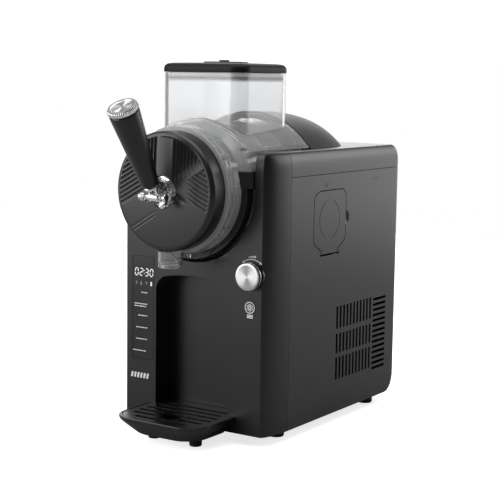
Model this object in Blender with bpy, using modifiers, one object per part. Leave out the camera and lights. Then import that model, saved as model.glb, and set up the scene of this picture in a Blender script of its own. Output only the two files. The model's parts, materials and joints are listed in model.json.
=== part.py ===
"""Countertop slush machine: a clear freezing vessel on a black housing, with a tap, a drip tray,
a refrigeration set and a geared auger drive.

Sizes below are in millimetres and MM turns them into metres. +X is to the right as one faces the
machine, +Y runs to the rear and +Z up. While modelling, y = 0 is the flat of the front panel; the
empty "machine" then shifts everything so that the resting footprint is centred on the origin.
"""
import math

import bmesh
import bpy
from mathutils import Matrix, Vector

MM = 0.001
GAP = 0.4            # clearance between neighbouring pieces

# ---- housing ----
HALF_WIDTH = 100.0
REAR = 296.0
BODY_BOTTOM = 12.0
BODY_TOP = 317.0
WALL = 2.5
FRONT_FLAT = 90.0    # half-width of the flat part of the front
FRONT_WRAP = 42.0    # depth over which the front corners wrap round to the sides
REAR_CORNER = 12.0
TOP_ROUND = 6.0      # how far the rounded top edge draws in at the front and sides
TOP_ROUND_REAR = 14.0
TOP_ROUND_HEIGHT = 19.0
REAR_BOTTOM_ROUND = 22.0
SEAM_Y = 41.6        # front shell to side panels
SEAM_Z = 290.0       # side panels to top cover
REAR_SEAM_X = 70.0   # side panels to rear cover

# ---- vessel axis and cradle ----
AXIS_Z = 275.0
CRADLE_R = 80.5
BARREL_R = 77.5
RING_R = 69.0
VESSEL_WALL = 3.0
RING_FRONT = -28.6
RING_REAR = -8.0
BARREL_FRONT = 13.0
BARREL_REAR = 104.0
FAIRING_Z = 254.0      # the fairing and the rear dome are turned about a lower axis
FAIRING_R_FRONT = 95.8
FAIRING_R = 103.0
FAIRING_BOTTOM = 318.4
FAIRING_FRONT = 3.0
FAIRING_REAR = 109.6
DOME_FRONT = 110.2
COLLAR_R = 76.0
LUG_X = 79.6
LUG_BOTTOM, LUG_TOP = 279.0, 298.0

# ---- hopper and lid ----
HOPPER_X = 55.0
HOPPER_FRONT = 10.0
HOPPER_REAR = 109.5
HOPPER_TOP = 400.0
HOPPER_CORNER = 16.0
LID_TOP = 411.0

# ---- front cover, valve and tap ----
COVER_R = 64.0
COVER_FRONT = -54.0
VALVE_Y = -40.0      # axis of the valve bore and of the spout
VALVE_BORE = 8.3
BOSS_R = 16.5
BOSS_FRONT = -62.0
PIVOT_Y = -67.0
PIVOT_Z = 270.0
TILT = math.radians(30.0)
GRIP_START = 16.0    # along the handle, from the pivot
GRIP_LENGTH = 88.0
GRIP_R_LOW = 9.5
GRIP_R_HIGH = 16.0
CAP_R = 16.6
CAP_HEIGHT = 6.0
CAP_CHAMFER = 1.5

# ---- auger drive ----
DRUM_R = 52.0
DRUM_FRONT = 20.0
AUGER_R = 72.0
SHAFT_R = 5.0
GEAR_MODULE = 2.5
GEAR_TEETH = 32
PINION_TEETH = 14
GEAR_FRONT = 129.0
GEAR_REAR = 137.0
PINION_Z = AXIS_Z - GEAR_MODULE * (GEAR_TEETH + PINION_TEETH) / 2

# ---- front panel ----
RECESS_X = 50.0
RECESS_TOP = 176.0
RECESS_ARCH = 3.0
RECESS_BOTTOM = 16.0
RECESS_DEPTH = 27.0
KNOB_X, KNOB_Z, KNOB_R = 78.0, 186.5, 14.7
KNOB_FRONT = -10.0    # face of the knob, in front of the panel
BUTTON_X, BUTTON_Z, BUTTON_R = 76.2, 152.4, 6.8
WINDOW = (-83.0, -53.0, 78.0, 195.0)   # x from, x to, z from, z to

# ---- drip tray ----
TRAY_X = 58.0
TRAY_FRONT = -72.0
TRAY_TOP = 30.0
TRAY_BOTTOM = 10.0

# ---- side hatch ----
HATCH_AXIS_X = 98.75
HATCH_AXIS_Z = 201.6

# Where the handle's cap reaches furthest forward; it sets the centre of the footprint.
CAP_EDGE = GRIP_START + GRIP_LENGTH + GAP + CAP_HEIGHT - CAP_CHAMFER
NOSE_Y = PIVOT_Y - CAP_EDGE * math.sin(TILT) - CAP_R * math.cos(TILT)
CENTRE_Y = (NOSE_Y + REAR) / 2


# ------------------------------------------------------------------ scene and materials
def clear_scene():
    for item in list(bpy.data.objects):
        bpy.data.objects.remove(item, do_unlink=True)


def make_collection(name):
    group = bpy.data.collections.new(name)
    bpy.context.scene.collection.children.link(group)
    return group


clear_scene()
PARTS = make_collection("slush_machine")
CUTTERS = make_collection("cutters")


def make_material(name, colour, roughness, metallic=0.0, transmission=0.0):
    material = bpy.data.materials.new(name)
    material.use_nodes = True
    shader = material.node_tree.nodes["Principled BSDF"]
    shader.inputs["Base Color"].default_value = (*colour, 1.0)
    shader.inputs["Roughness"].default_value = roughness
    shader.inputs["Metallic"].default_value = metallic
    shader.inputs["Transmission Weight"].default_value = transmission
    material.diffuse_color = (*colour, 1.0)
    return material


def empty(name, at, parent=None):
    """An empty at a point given in the modelling frame, used as a parent or a joint axis."""
    holder = bpy.data.objects.new(name, None)
    PARTS.objects.link(holder)
    holder.parent = parent
    base = Vector((0.0, 0.0, 0.0)) if parent is None else parent["frame_at"].to_list()
    holder.location = (Vector(at) - Vector(base)) * MM
    holder["frame_at"] = list(at)
    return holder


MACHINE = bpy.data.objects.new("machine", None)
PARTS.objects.link(MACHINE)
MACHINE.location = (0.0, -CENTRE_Y * MM, 0.0)
MACHINE["frame_at"] = [0.0, 0.0, 0.0]


def add(name, mesh, look, parent=None, at=(0.0, 0.0, 0.0), turn=(0.0, 0.0, 0.0)):
    """One visible piece; `at` is in the modelling frame even when the piece hangs on a joint empty."""
    piece = bpy.data.objects.new(name, mesh)
    PARTS.objects.link(piece)
    parent = parent or MACHINE
    piece.parent = parent
    piece.location = (Vector(at) - Vector(parent["frame_at"].to_list())) * MM
    piece.rotation_euler = turn
    material = make_material(name + "_finish", *FINISHES[look])
    if mesh.materials:
        mesh.materials[0] = material
    else:
        mesh.materials.append(material)
    return piece


def tool(name, mesh, at=(0.0, 0.0, 0.0), turn=(0.0, 0.0, 0.0)):
    """A cutter or guide body: never rendered, left out of the finished machine."""
    piece = bpy.data.objects.new("tool_" + name, mesh)
    CUTTERS.objects.link(piece)
    piece.parent = MACHINE
    piece.location = Vector(at) * MM
    piece.rotation_euler = turn
    piece.hide_render = True
    piece.display_type = "WIRE"
    return piece


def boolean(piece, operation, other):
    step = piece.modifiers.new(operation.lower() + "_" + other.name, "BOOLEAN")
    step.operation = operation
    step.object = other
    step.solver = "EXACT"
    return piece


def cut(piece, *others):
    for other in others:
        boolean(piece, "DIFFERENCE", other)
    return piece


def join(piece, *others):
    for other in others:
        boolean(piece, "UNION", other)
    return piece


def keep(piece, *others):
    for other in others:
        boolean(piece, "INTERSECT", other)
    return piece


# name: (colour, roughness, metallic, transmission)
FINISHES = {
    "black plastic": ((0.030, 0.029, 0.031), 0.42),
    "gloss black": ((0.008, 0.008, 0.009), 0.12),
    "rubber": ((0.015, 0.015, 0.015), 0.85),
    "clear plastic": ((0.93, 0.94, 0.95), 0.04, 0.0, 0.95),
    "silicone": ((0.62, 0.63, 0.64), 0.6, 0.0, 0.3),
    "chrome": ((0.80, 0.80, 0.82), 0.08, 1.0),
    "aluminium": ((0.72, 0.72, 0.73), 0.28, 1.0),
    "stainless": ((0.60, 0.61, 0.62), 0.25, 1.0),
    "steel": ((0.42, 0.42, 0.44), 0.35, 1.0),
    "white plastic": ((0.78, 0.78, 0.76), 0.35),
    "nylon": ((0.70, 0.68, 0.60), 0.45),
    "copper": ((0.72, 0.32, 0.18), 0.3, 1.0),
    "circuit board": ((0.02, 0.16, 0.07), 0.5),
    "painted steel": ((0.02, 0.02, 0.022), 0.3),
    "brass": ((0.70, 0.50, 0.22), 0.3, 1.0),
}


# ------------------------------------------------------------------ mesh makers
def mesh_from(bm, name):
    bmesh.ops.recalc_face_normals(bm, faces=bm.faces)
    mesh = bpy.data.meshes.new(name)
    bm.to_mesh(mesh)
    bm.free()
    return mesh


def add_box(bm, low, high):
    size = Vector(high) - Vector(low)
    middle = (Vector(high) + Vector(low)) / 2
    matrix = Matrix.Translation(middle * MM) @ Matrix.Diagonal((*(size * MM), 1.0))
    return bmesh.ops.create_cube(bm, size=1.0, matrix=matrix)["verts"]


def box(low, high, bevel=0.0, segments=2):
    bm = bmesh.new()
    add_box(bm, low, high)
    if bevel:
        bmesh.ops.bevel(bm, geom=bm.edges[:], offset=bevel * MM, segments=segments,
                        profile=0.5, affect="EDGES")
    return mesh_from(bm, "box")


def boxes(spans):
    """Several boxes in one mesh, for a row of slots."""
    bm = bmesh.new()
    for low, high in spans:
        add_box(bm, low, high)
    return mesh_from(bm, "boxes")


TURN_TO = {
    "X": Matrix.Rotation(math.radians(90), 4, "Y"),
    "Y": Matrix.Rotation(math.radians(-90), 4, "X"),
    "Z": Matrix.Identity(4),
}
EULER_TO = {"X": (0.0, math.radians(90), 0.0), "Y": (math.radians(-90), 0.0, 0.0), "Z": (0, 0, 0)}


def cylinder(radius, start, end, axis="Y", centre=(0.0, 0.0), segments=32):
    """A round bar; `centre` holds the two coordinates across the axis, in x, y, z order."""
    middle = (start + end) / 2
    place = {"X": (middle, *centre), "Y": (centre[0], middle, centre[1]), "Z": (*centre, middle)}[axis]
    bm = bmesh.new()
    bmesh.ops.create_cone(bm, cap_ends=True, segments=segments, radius1=radius * MM,
                          radius2=radius * MM, depth=(end - start) * MM,
                          matrix=Matrix.Translation(Vector(place) * MM) @ TURN_TO[axis])
    return mesh_from(bm, "cylinder")


PLANES = {
    "XY": (lambda a, b, c: (a, b, c), Vector((0, 0, 1))),
    "XZ": (lambda a, b, c: (a, c, b), Vector((0, 1, 0))),
    "YZ": (lambda a, b, c: (c, a, b), Vector((1, 0, 0))),
}


def prism(outline, plane, start, end, bevel=0.0):
    """A flat outline given in one plane and drawn out along the third axis."""
    put, along = PLANES[plane]
    bm = bmesh.new()
    face = bm.faces.new([bm.verts.new(Vector(put(a, b, start)) * MM) for a, b in outline])
    drawn = bmesh.ops.extrude_face_region(bm, geom=[face])["geom"]
    moved = [item for item in drawn if isinstance(item, bmesh.types.BMVert)]
    bmesh.ops.translate(bm, verts=moved, vec=along * (end - start) * MM)
    if bevel:
        rims = [e for e in bm.edges if abs((e.verts[0].co - e.verts[1].co).dot(along)) < 1e-7]
        bmesh.ops.bevel(bm, geom=rims, offset=bevel * MM, segments=2, profile=0.5, affect="EDGES")
    return mesh_from(bm, "prism")


def loft(rings):
    """A closed body through rings of points that all have the same count."""
    bm = bmesh.new()
    made = [[bm.verts.new(Vector(point) * MM) for point in ring] for ring in rings]
    count = len(made[0])
    for lower, upper in zip(made, made[1:]):
        for i in range(count):
            j = (i + 1) % count
            bm.faces.new((lower[i], lower[j], upper[j], upper[i]))
    bm.faces.new(made[0][::-1])
    bm.faces.new(made[-1])
    return mesh_from(bm, "loft")


def arc(cx, cy, rx, ry, first, last, count):
    """Points on an elliptical arc, from the first angle to the last, in degrees."""
    points = []
    for i in range(count + 1):
        angle = math.radians(first + (last - first) * i / count)
        points.append((cx + rx * math.cos(angle), cy + ry * math.sin(angle)))
    return points


def rounded(x0, x1, y0, y1, r, count=4):
    return (arc(x1 - r, y0 + r, r, r, -90, 0, count) + arc(x1 - r, y1 - r, r, r, 0, 90, count)
            + arc(x0 + r, y1 - r, r, r, 90, 180, count) + arc(x0 + r, y0 + r, r, r, 180, 270, count))


def profile_mesh(points, closed):
    """A turning profile of (radius, height) pairs, put in the order that turns faces outward."""
    area = 0.0
    for (r0, h0), (r1, h1) in zip(points, points[1:] + points[:1]):
        area += r0 * h1 - r1 * h0
    if area > 0:
        points = points[::-1]
    mesh = bpy.data.meshes.new("profile")
    edges = [(i, i + 1) for i in range(len(points) - 1)]
    if closed:
        edges.append((len(points) - 1, 0))
    mesh.from_pydata([(r * MM, 0.0, h * MM) for r, h in points], edges, [])
    return mesh


def turn_profile(piece, steps):
    screw = piece.modifiers.new("turned", "SCREW")
    screw.axis = "Z"
    screw.angle = 2 * math.pi
    screw.steps = steps
    screw.render_steps = steps
    screw.use_merge_vertices = True
    screw.merge_threshold = 0.00001
    screw.use_smooth_shade = True
    return piece


def turned(name, points, look, axis="Y", at=(0.0, 0.0, 0.0), parent=None, closed=True, steps=40):
    """A turned piece; heights run along the axis from `at`."""
    piece = add(name, profile_mesh(points, closed), look, parent, at, EULER_TO[axis])
    return turn_profile(piece, steps)


def turned_tool(name, points, axis="Y", at=(0.0, 0.0, 0.0), closed=True, steps=40):
    return turn_profile(tool(name, profile_mesh(points, closed), at, EULER_TO[axis]), steps)


def ring(inner, outer, start, end):
    """Profile of a plain ring."""
    return [(inner, start), (outer, start), (outer, end), (inner, end)]


def tube(name, points, radius, look, parent=None, resolution=2, at=(0.0, 0.0, 0.0)):
    """A round tube or wire along a row of points."""
    curve = bpy.data.curves.new(name, "CURVE")
    curve.dimensions = "3D"
    curve.bevel_depth = radius * MM
    curve.bevel_resolution = resolution
    curve.use_fill_caps = True
    spline = curve.splines.new("POLY")
    spline.points.add(len(points) - 1)
    for slot, point in zip(spline.points, points):
        slot.co = (*(Vector(point) * MM), 1.0)
    return add(name, curve, look, parent, at)


# ------------------------------------------------------------------ housing
def plan_outline(inset, front_step, rear_y):
    """The housing's outline from above, drawn in by `inset`; the front corners are elliptical."""
    half = HALF_WIDTH - inset
    wrap_x = HALF_WIDTH - FRONT_FLAT - inset
    wrap_y = FRONT_WRAP - front_step
    r = max(REAR_CORNER - inset, 1.0)
    right = arc(FRONT_FLAT, FRONT_WRAP, wrap_x, wrap_y, -90, 0, 6)
    right += arc(half - r, rear_y - r, r, r, 0, 90, 3)
    left = [(-x, y) for x, y in reversed(right)]
    return right + left


def housing_block(inset, bottom):
    """The housing's outer form, or with an inset the form of its hollow."""
    top = BODY_TOP - inset
    round_start = BODY_TOP - TOP_ROUND_HEIGHT
    levels = [bottom]
    levels += [z for z in (BODY_BOTTOM, 15.0, 20.0, 26.0, BODY_BOTTOM + REAR_BOTTOM_ROUND) if z > bottom]
    levels += [round_start + (top - round_start) * math.sin(math.radians(a)) for a in (0, 22, 45, 68, 90)]
    rings = []
    for z in levels:
        fall = max(0.0, z - round_start) / (top - round_start)
        share = 1 - math.sqrt(max(0.0, 1 - fall * fall))
        edge = inset + TOP_ROUND * share
        drop = max(0.0, BODY_BOTTOM + REAR_BOTTOM_ROUND - max(z, BODY_BOTTOM))
        lift = REAR_BOTTOM_ROUND - math.sqrt(REAR_BOTTOM_ROUND ** 2 - min(drop, REAR_BOTTOM_ROUND) ** 2)
        rear_y = REAR - inset - TOP_ROUND_REAR * share - 0.8 * lift
        rings.append([(x, y, z) for x, y in plan_outline(edge, edge, rear_y)])
    return loft(rings)


def cradle_outline(radius):
    """A U seen from the front: a half circle about the vessel's axis with straight sides."""
    return arc(0, AXIS_Z, radius, radius, 180, 360, 24) + [(radius, 340), (-radius, 340)]


def recess_outline(grow):
    side = RECESS_X + grow
    top = RECESS_TOP + grow
    r = 17.0 + grow
    half = arc(side - r, top - r, r, r, 0, 80, 5) + [(0, top + RECESS_ARCH)]
    mirrored = [(-x, z) for x, z in reversed(half[:-1])]
    return [(-side, RECESS_BOTTOM - grow), (side, RECESS_BOTTOM - grow)] + half + mirrored


HOLLOW = tool("hollow", housing_block(WALL, -20.0))
CRADLE_SPACE = tool("cradle_space", prism(cradle_outline(CRADLE_R), "XZ", -5, DOME_FRONT + 2.8))


def make_front_shell():
    shell = add("front_shell", housing_block(0.0, BODY_BOTTOM), "black plastic")
    behind = tool("behind_front", box((-120, SEAM_Y, -20), (120, 320, 340)))
    tub = tool("recess_tub", prism(recess_outline(2.2), "XZ", 1.2, RECESS_DEPTH + 2.2))
    space = tool("recess_space", prism(recess_outline(0.0), "XZ", -5, RECESS_DEPTH))
    cut(shell, HOLLOW, behind)
    join(shell, tub)
    cut(shell, space, CRADLE_SPACE)
    x0, x1, z0, z1 = WINDOW
    holes = tool("window_hole", box((x0 - GAP, -5, z0 - GAP), (x1 + GAP, 8, z1 + GAP)))
    knob_hole = tool("knob_hole", cylinder(KNOB_R + 1.1, -5, 12, "Y", (KNOB_X, KNOB_Z), 36))
    button_hole = tool("button_hole", cylinder(BUTTON_R + GAP, -5, 12, "Y", (BUTTON_X, BUTTON_Z), 28))
    return cut(shell, holes, knob_hole, button_hole)


def vent_spans(side):
    """Vent slots: three rows of upright slots, and on the right a column of level ones behind."""
    x0, x1 = sorted((side * 95.0, side * 103.0))
    spans = []
    for z0, z1 in ((50, 76), (81, 104), (110, 136)):
        for i in range(11):
            y = 146 + 7.9 * i
            spans.append(((x0, y - 2, z0), (x1, y + 2, z1)))
    if side > 0:
        for i in range(14):
            z = 48 + 6.5 * i
            spans.append(((x0, 232, z - 1.6), (x1, 264, z + 1.6)))
    return spans


def hatch_outline(grow):
    """The side hatch seen from the side as (y, z), with its hinge tab below."""
    g = grow
    top = arc(150, 261, 10 + g, 10 + g, 0, 90, 4) + arc(106, 261, 16 + g, 10 + g, 90, 180, 5)
    foot = 200.0 if g == 0 else HATCH_AXIS_Z - 2.5
    return ([(90 - g, 213 - g / 2), (105 - g, 206 - g), (105 - g, foot)]
            + [(145 + g, foot), (145 + g, 206 - g), (160 + g, 213 - g / 2)] + top)


def make_side_panel(side):
    name = "side_panel_right" if side > 0 else "side_panel_left"
    panel = add(name, housing_block(0.0, BODY_BOTTOM), "black plastic")
    x0, x1 = sorted((side * REAR_SEAM_X, side * 120.0))
    region = tool(name + "_region", box((x0, SEAM_Y + GAP, -20), (x1, 320, SEAM_Z - GAP)))
    cut(panel, HOLLOW)
    keep(panel, region)
    cut(panel, tool(name + "_vents", boxes(vent_spans(side))))
    if side > 0:
        opening = tool("hatch_opening", prism(hatch_outline(0.5), "YZ", 90, 110))
        notch = tool("hatch_notch", cylinder(10.4, 98.6, 105, "X", (160, 238), 28))
        drill = tool("hatch_drill", cylinder(0.85, 100.5, 149.5, "Y", (HATCH_AXIS_X, HATCH_AXIS_Z), 10))
        cut(panel, opening, notch, drill)
    return panel


def make_top_cover():
    cover = add("top_cover", housing_block(0.0, BODY_BOTTOM), "black plastic")
    region = tool("top_region", box((-120, SEAM_Y + GAP, SEAM_Z), (120, 320, 340)))
    bay = tool("drive_bay", prism(rounded(-66, 66, 108, 204, 8), "XY", 300, 340))
    cut(cover, HOLLOW)
    keep(cover, region)
    return cut(cover, CRADLE_SPACE, bay)


def make_rear_cover():
    cover = add("rear_cover", housing_block(0.0, BODY_BOTTOM), "black plastic")
    edge = REAR_SEAM_X - GAP
    region = tool("rear_region", box((-edge, 240, -20), (edge, 320, SEAM_Z - GAP)))
    spans = []
    for i in range(9):
        z = 110 + 14 * i
        spans.append(((-48, 275, z - 2.4), (-3, 300, z + 2.4)))
        spans.append(((3, 275, z - 2.4), (48, 300, z + 2.4)))
    inlet = tool("inlet_hole", box((-14.4, 270, 42.6), (14.4, 300, 63.4)))
    cut(cover, HOLLOW)
    keep(cover, region)
    return cut(cover, tool("rear_vents", boxes(spans)), inlet)


def dome_profile(inset):
    """The dome's side: nearly straight, then rounding in towards its rear end."""
    i = inset
    return [(0, 0), (103.5 - i, 0), (103 - i, 30), (101.2 - i, 58), (97 - i, 82), (90.5 - i, 98 - i),
            (83 - i, 103.5 - i), (0, 103.5 - i)]


def make_rear_dome():
    dome = turned("rear_dome", dome_profile(0), "black plastic", at=(0, DOME_FRONT, FAIRING_Z),
                  closed=False, steps=44)
    inside = turned_tool("dome_inside", [(0, WALL)] + [(r, max(h, WALL)) for r, h in
                                                       dome_profile(WALL)[1:]],
                         at=(0, DOME_FRONT, FAIRING_Z), closed=False, steps=44)
    below = tool("dome_below", box((-120, 80, 130), (120, 240, BODY_TOP + GAP)))
    mouth = tool("dome_mouth", cylinder(CRADLE_R, 100, DOME_FRONT + 5, "Y", (0, AXIS_Z), 48))
    return cut(dome, inside, below, mouth)


def make_cradle():
    trough = add("cradle", prism(cradle_outline(CRADLE_R + 2.0), "XZ", 3.2, DOME_FRONT + 2.4),
                 "black plastic")
    inside = tool("cradle_inside", prism(cradle_outline(CRADLE_R), "XZ", -5, 140))
    limit = tool("cradle_limit", housing_block(WALL + GAP, BODY_BOTTOM))
    return keep(cut(trough, inside), limit)


def make_base():
    pan = add("base_pan", prism(plan_outline(3.4, 3.4, 272.0), "XY", 13.0, 15.6), "painted steel")
    clear = tool("pan_clearance", box((-53, -5, 10), (53, 30, 20)))
    cut(pan, clear)
    for name, x, y in (("foot_front_left", -76, 56), ("foot_front_right", 76, 56),
                       ("foot_rear_left", -81, 252), ("foot_rear_right", 81, 252)):
        turned(name, [(0, 0), (8.2, 0), (9.2, 1.2), (10, 12.7), (0, 12.7)], "rubber", "Z",
               (x, y, 0), closed=False, steps=18)


def make_hatch():
    axis = empty("side_hatch_axis", (HATCH_AXIS_X, 125, HATCH_AXIS_Z), MACHINE)
    hatch = add("side_hatch", prism(hatch_outline(0.0), "YZ", HALF_WIDTH - WALL, HALF_WIDTH),
                "black plastic", axis)
    bore = tool("hatch_bore", cylinder(0.85, 100, 150, "Y", (HATCH_AXIS_X, HATCH_AXIS_Z), 10))
    cut(hatch, bore)
    add("hatch_pin", cylinder(0.6, 101, 149, "Y", (HATCH_AXIS_X, HATCH_AXIS_Z), 10), "steel", axis)
    pocket = add("hatch_pocket", prism(rounded(92, 158, 207.5, 269, 7, 3), "YZ", 84.5, 97),
                 "black plastic")
    cut(pocket, tool("pocket_space", prism(rounded(93.8, 156.2, 209.3, 267.2, 6, 3), "YZ", 86, 100)))


def make_inlet():
    socket = add("power_inlet", box((-14, 264, 43), (14, REAR - 0.6, 63), 1.2), "black plastic")
    cut(socket, tool("inlet_space", box((-11.8, 273, 45), (11.8, 300, 61))))


# ------------------------------------------------------------------ controls
def make_controls():
    x0, x1, z0, z1 = WINDOW
    add("display_window", box((x0, 0.05, z0), (x1, 1.9, z1), 0.3, 1), "gloss black")
    add("display_board", box((x0 + 1, 6.0, z0 + 4), (x1 - 1, 7.6, z1 - 4)), "circuit board")
    turned("knob_bezel", ring(KNOB_R - 0.6, KNOB_R + 0.7, -0.9, 11.0), "black plastic", "Y",
           (KNOB_X, 0, KNOB_Z), steps=26)
    knob_axis = empty("level_knob_axis", (KNOB_X, 0, KNOB_Z), MACHINE)
    turned("level_knob", [(0, KNOB_FRONT), (KNOB_R - 1.1, KNOB_FRONT), (KNOB_R, KNOB_FRONT + 1),
                          (KNOB_R, -1.5), (KNOB_R - 1.2, -1.1), (KNOB_R - 1.2, 4), (3, 4), (3, 20), (0, 20)],
           "aluminium", "Y", (KNOB_X, 0, KNOB_Z), knob_axis, closed=False, steps=26)
    button_axis = empty("mode_button_axis", (BUTTON_X, 0, BUTTON_Z), MACHINE)
    turned("mode_button", [(0, -0.5), (6.2, -0.5), (BUTTON_R, 0.1), (BUTTON_R, 5), (2.4, 5), (2.4, 8),
                           (0, 8)],
           "black plastic", "Y", (BUTTON_X, 0, BUTTON_Z), button_axis, closed=False, steps=20)
    board = add("panel_board", box((64, 24.4, 142), (90, 26, 200)), "circuit board")
    encoder = turned_tool("encoder", ring(3.4, 8.0, 14, 25), "Y", (KNOB_X, 0, KNOB_Z), steps=24)
    switch = tool("button_switch", box((BUTTON_X - 4, 9.6, BUTTON_Z - 4), (BUTTON_X + 4, 25, BUTTON_Z + 4)))
    join(board, encoder, switch)


# ------------------------------------------------------------------ vessel, hopper and lid
def barrel_profile(grow, rear):
    """Outside of the barrel: the front ring, a shoulder, then the straight barrel."""
    g = grow
    return [(0, RING_FRONT), (RING_R + g, RING_FRONT), (RING_R + g, RING_REAR),
            (RING_R + 2.6 + g, -2), (BARREL_R - 1.2 + g, 8), (BARREL_R + g, BARREL_FRONT),
            (BARREL_R + g, rear), (0, rear)]


def fairing_profile(shrink, front, rear):
    s = shrink
    return [(0, front), (FAIRING_R_FRONT - s, front), (FAIRING_R - s, 103), (FAIRING_R - s, rear), (0, rear)]


def make_vessel():
    centre, low_centre = (0, 0, AXIS_Z), (0, 0, FAIRING_Z)
    vessel = turned("vessel", barrel_profile(0, BARREL_REAR), "clear plastic", "Y", centre,
                    VESSEL_EMPTY, closed=False, steps=40)
    fairing = turned_tool("fairing", fairing_profile(0, FAIRING_FRONT, FAIRING_REAR), "Y", low_centre,
                          closed=False, steps=48)
    keep(fairing, tool("fairing_limit", box((-120, -10, FAIRING_BOTTOM), (120, 130, 380))))
    hopper = tool("hopper", prism(rounded(-HOPPER_X, HOPPER_X, HOPPER_FRONT, HOPPER_REAR,
                                          HOPPER_CORNER), "XY", 320, HOPPER_TOP))
    w = VESSEL_WALL
    bore = turned_tool("barrel_bore", [(0, -40), (RING_R - 4, -40), (RING_R - 4, RING_REAR),
                                       (BARREL_R - w, BARREL_FRONT), (BARREL_R - w, 120), (0, 120)],
                       "Y", centre, closed=False, steps=40)
    fairing_space = turned_tool("fairing_space", fairing_profile(w, FAIRING_FRONT + w, FAIRING_REAR - w),
                                "Y", low_centre, closed=False, steps=48)
    keep(fairing_space, tool("fairing_space_limit",
                             box((-120, -10, FAIRING_BOTTOM + w), (120, 130, 380))))
    hopper_space = tool("hopper_space",
                        prism(rounded(-HOPPER_X + w, HOPPER_X - w, HOPPER_FRONT + w, HOPPER_REAR - w,
                                      HOPPER_CORNER - w), "XY", 300, HOPPER_TOP + 5))
    seat = tool("gasket_seat", cylinder(79.8, BARREL_REAR, 125, "Y", (0, AXIS_Z), 40))
    join(vessel, fairing, hopper)
    cut(vessel, bore, fairing_space, hopper_space, seat)
    turned("vessel_gasket", ring(74.8, 79.4, BARREL_REAR + 0.3, DOME_FRONT - 0.8), "silicone", "Y",
           centre, VESSEL_EMPTY, steps=36)


def make_collar():
    """The black half ring behind the clear front ring, with a lug at each end."""
    centre = (0, 0, AXIS_Z)
    collar = turned("vessel_collar", ring(66, COLLAR_R, -9, 4), "gloss black", "Y", centre, VESSEL_EMPTY,
                    steps=40)
    cut(collar, tool("collar_above", box((-90, -20, LUG_BOTTOM + 2), (90, 20, 380))))
    for name, side in (("right", 1), ("left", -1)):
        plan = [(62, -11), (70, -11), (LUG_X, -2), (LUG_X, 11), (62, 11)]
        outline = [(side * x, y) for x, y in plan[::side]]
        join(collar, tool("collar_lug_" + name, prism(outline, "XY", LUG_BOTTOM, LUG_TOP, 1.0)))
    cut(collar, turned_tool("barrel_clearance", barrel_profile(0.35, BARREL_REAR), "Y", centre,
                            closed=False, steps=40))


def make_lid():
    lid_axis = empty("lid_axis", (0, 60, HOPPER_TOP), VESSEL_EMPTY)
    out = 1.0
    outline = rounded(-HOPPER_X - out, HOPPER_X + out, HOPPER_FRONT - out, HOPPER_REAR + 0.3,
                      HOPPER_CORNER + out)
    lid = add("lid", prism(outline, "XY", HOPPER_TOP + 0.3, LID_TOP, 2.4), "black plastic", lid_axis)
    w = VESSEL_WALL + 2.4
    plug = tool("lid_plug", prism(rounded(-HOPPER_X + w, HOPPER_X - w, HOPPER_FRONT + w,
                                          HOPPER_REAR - w, 11), "XY", 391, HOPPER_TOP + 1))
    hollow = tool("lid_hollow", prism(rounded(-HOPPER_X + 8, HOPPER_X - 8, HOPPER_FRONT + 8,
                                              HOPPER_REAR - 8, 8), "XY", 380, LID_TOP - 3.5))
    fill = tool("fill_hole", cylinder(15, 380, 420, "Z", (0, 60), 24))
    seat = tool("flap_seat", cylinder(26.4, LID_TOP - 1.3, 420, "Z", (0, 60), 32))
    join(lid, plug)
    cut(lid, hollow, fill, seat)
    g = VESSEL_WALL + 0.35
    band = add("lid_gasket", prism(rounded(-HOPPER_X + g, HOPPER_X - g, HOPPER_FRONT + g,
                                           HOPPER_REAR - g, 12.6), "XY", 393, 396), "silicone", lid_axis)
    h = VESSEL_WALL + 2.1
    cut(band, tool("gasket_space", prism(rounded(-HOPPER_X + h, HOPPER_X - h, HOPPER_FRONT + h,
                                                 HOPPER_REAR - h, 11.2), "XY", 380, 400)))
    flap_axis = empty("refill_flap_axis", (0, 84, LID_TOP + 0.7), lid_axis)
    flap = add("refill_flap", cylinder(25, LID_TOP - 0.4, LID_TOP + 1.6, "Z", (0, 60), 32),
               "black plastic", flap_axis)
    join(flap, tool("flap_nub", box((-5, 53, LID_TOP + 1), (5, 60, LID_TOP + 3.4), 0.6, 1)))


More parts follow.
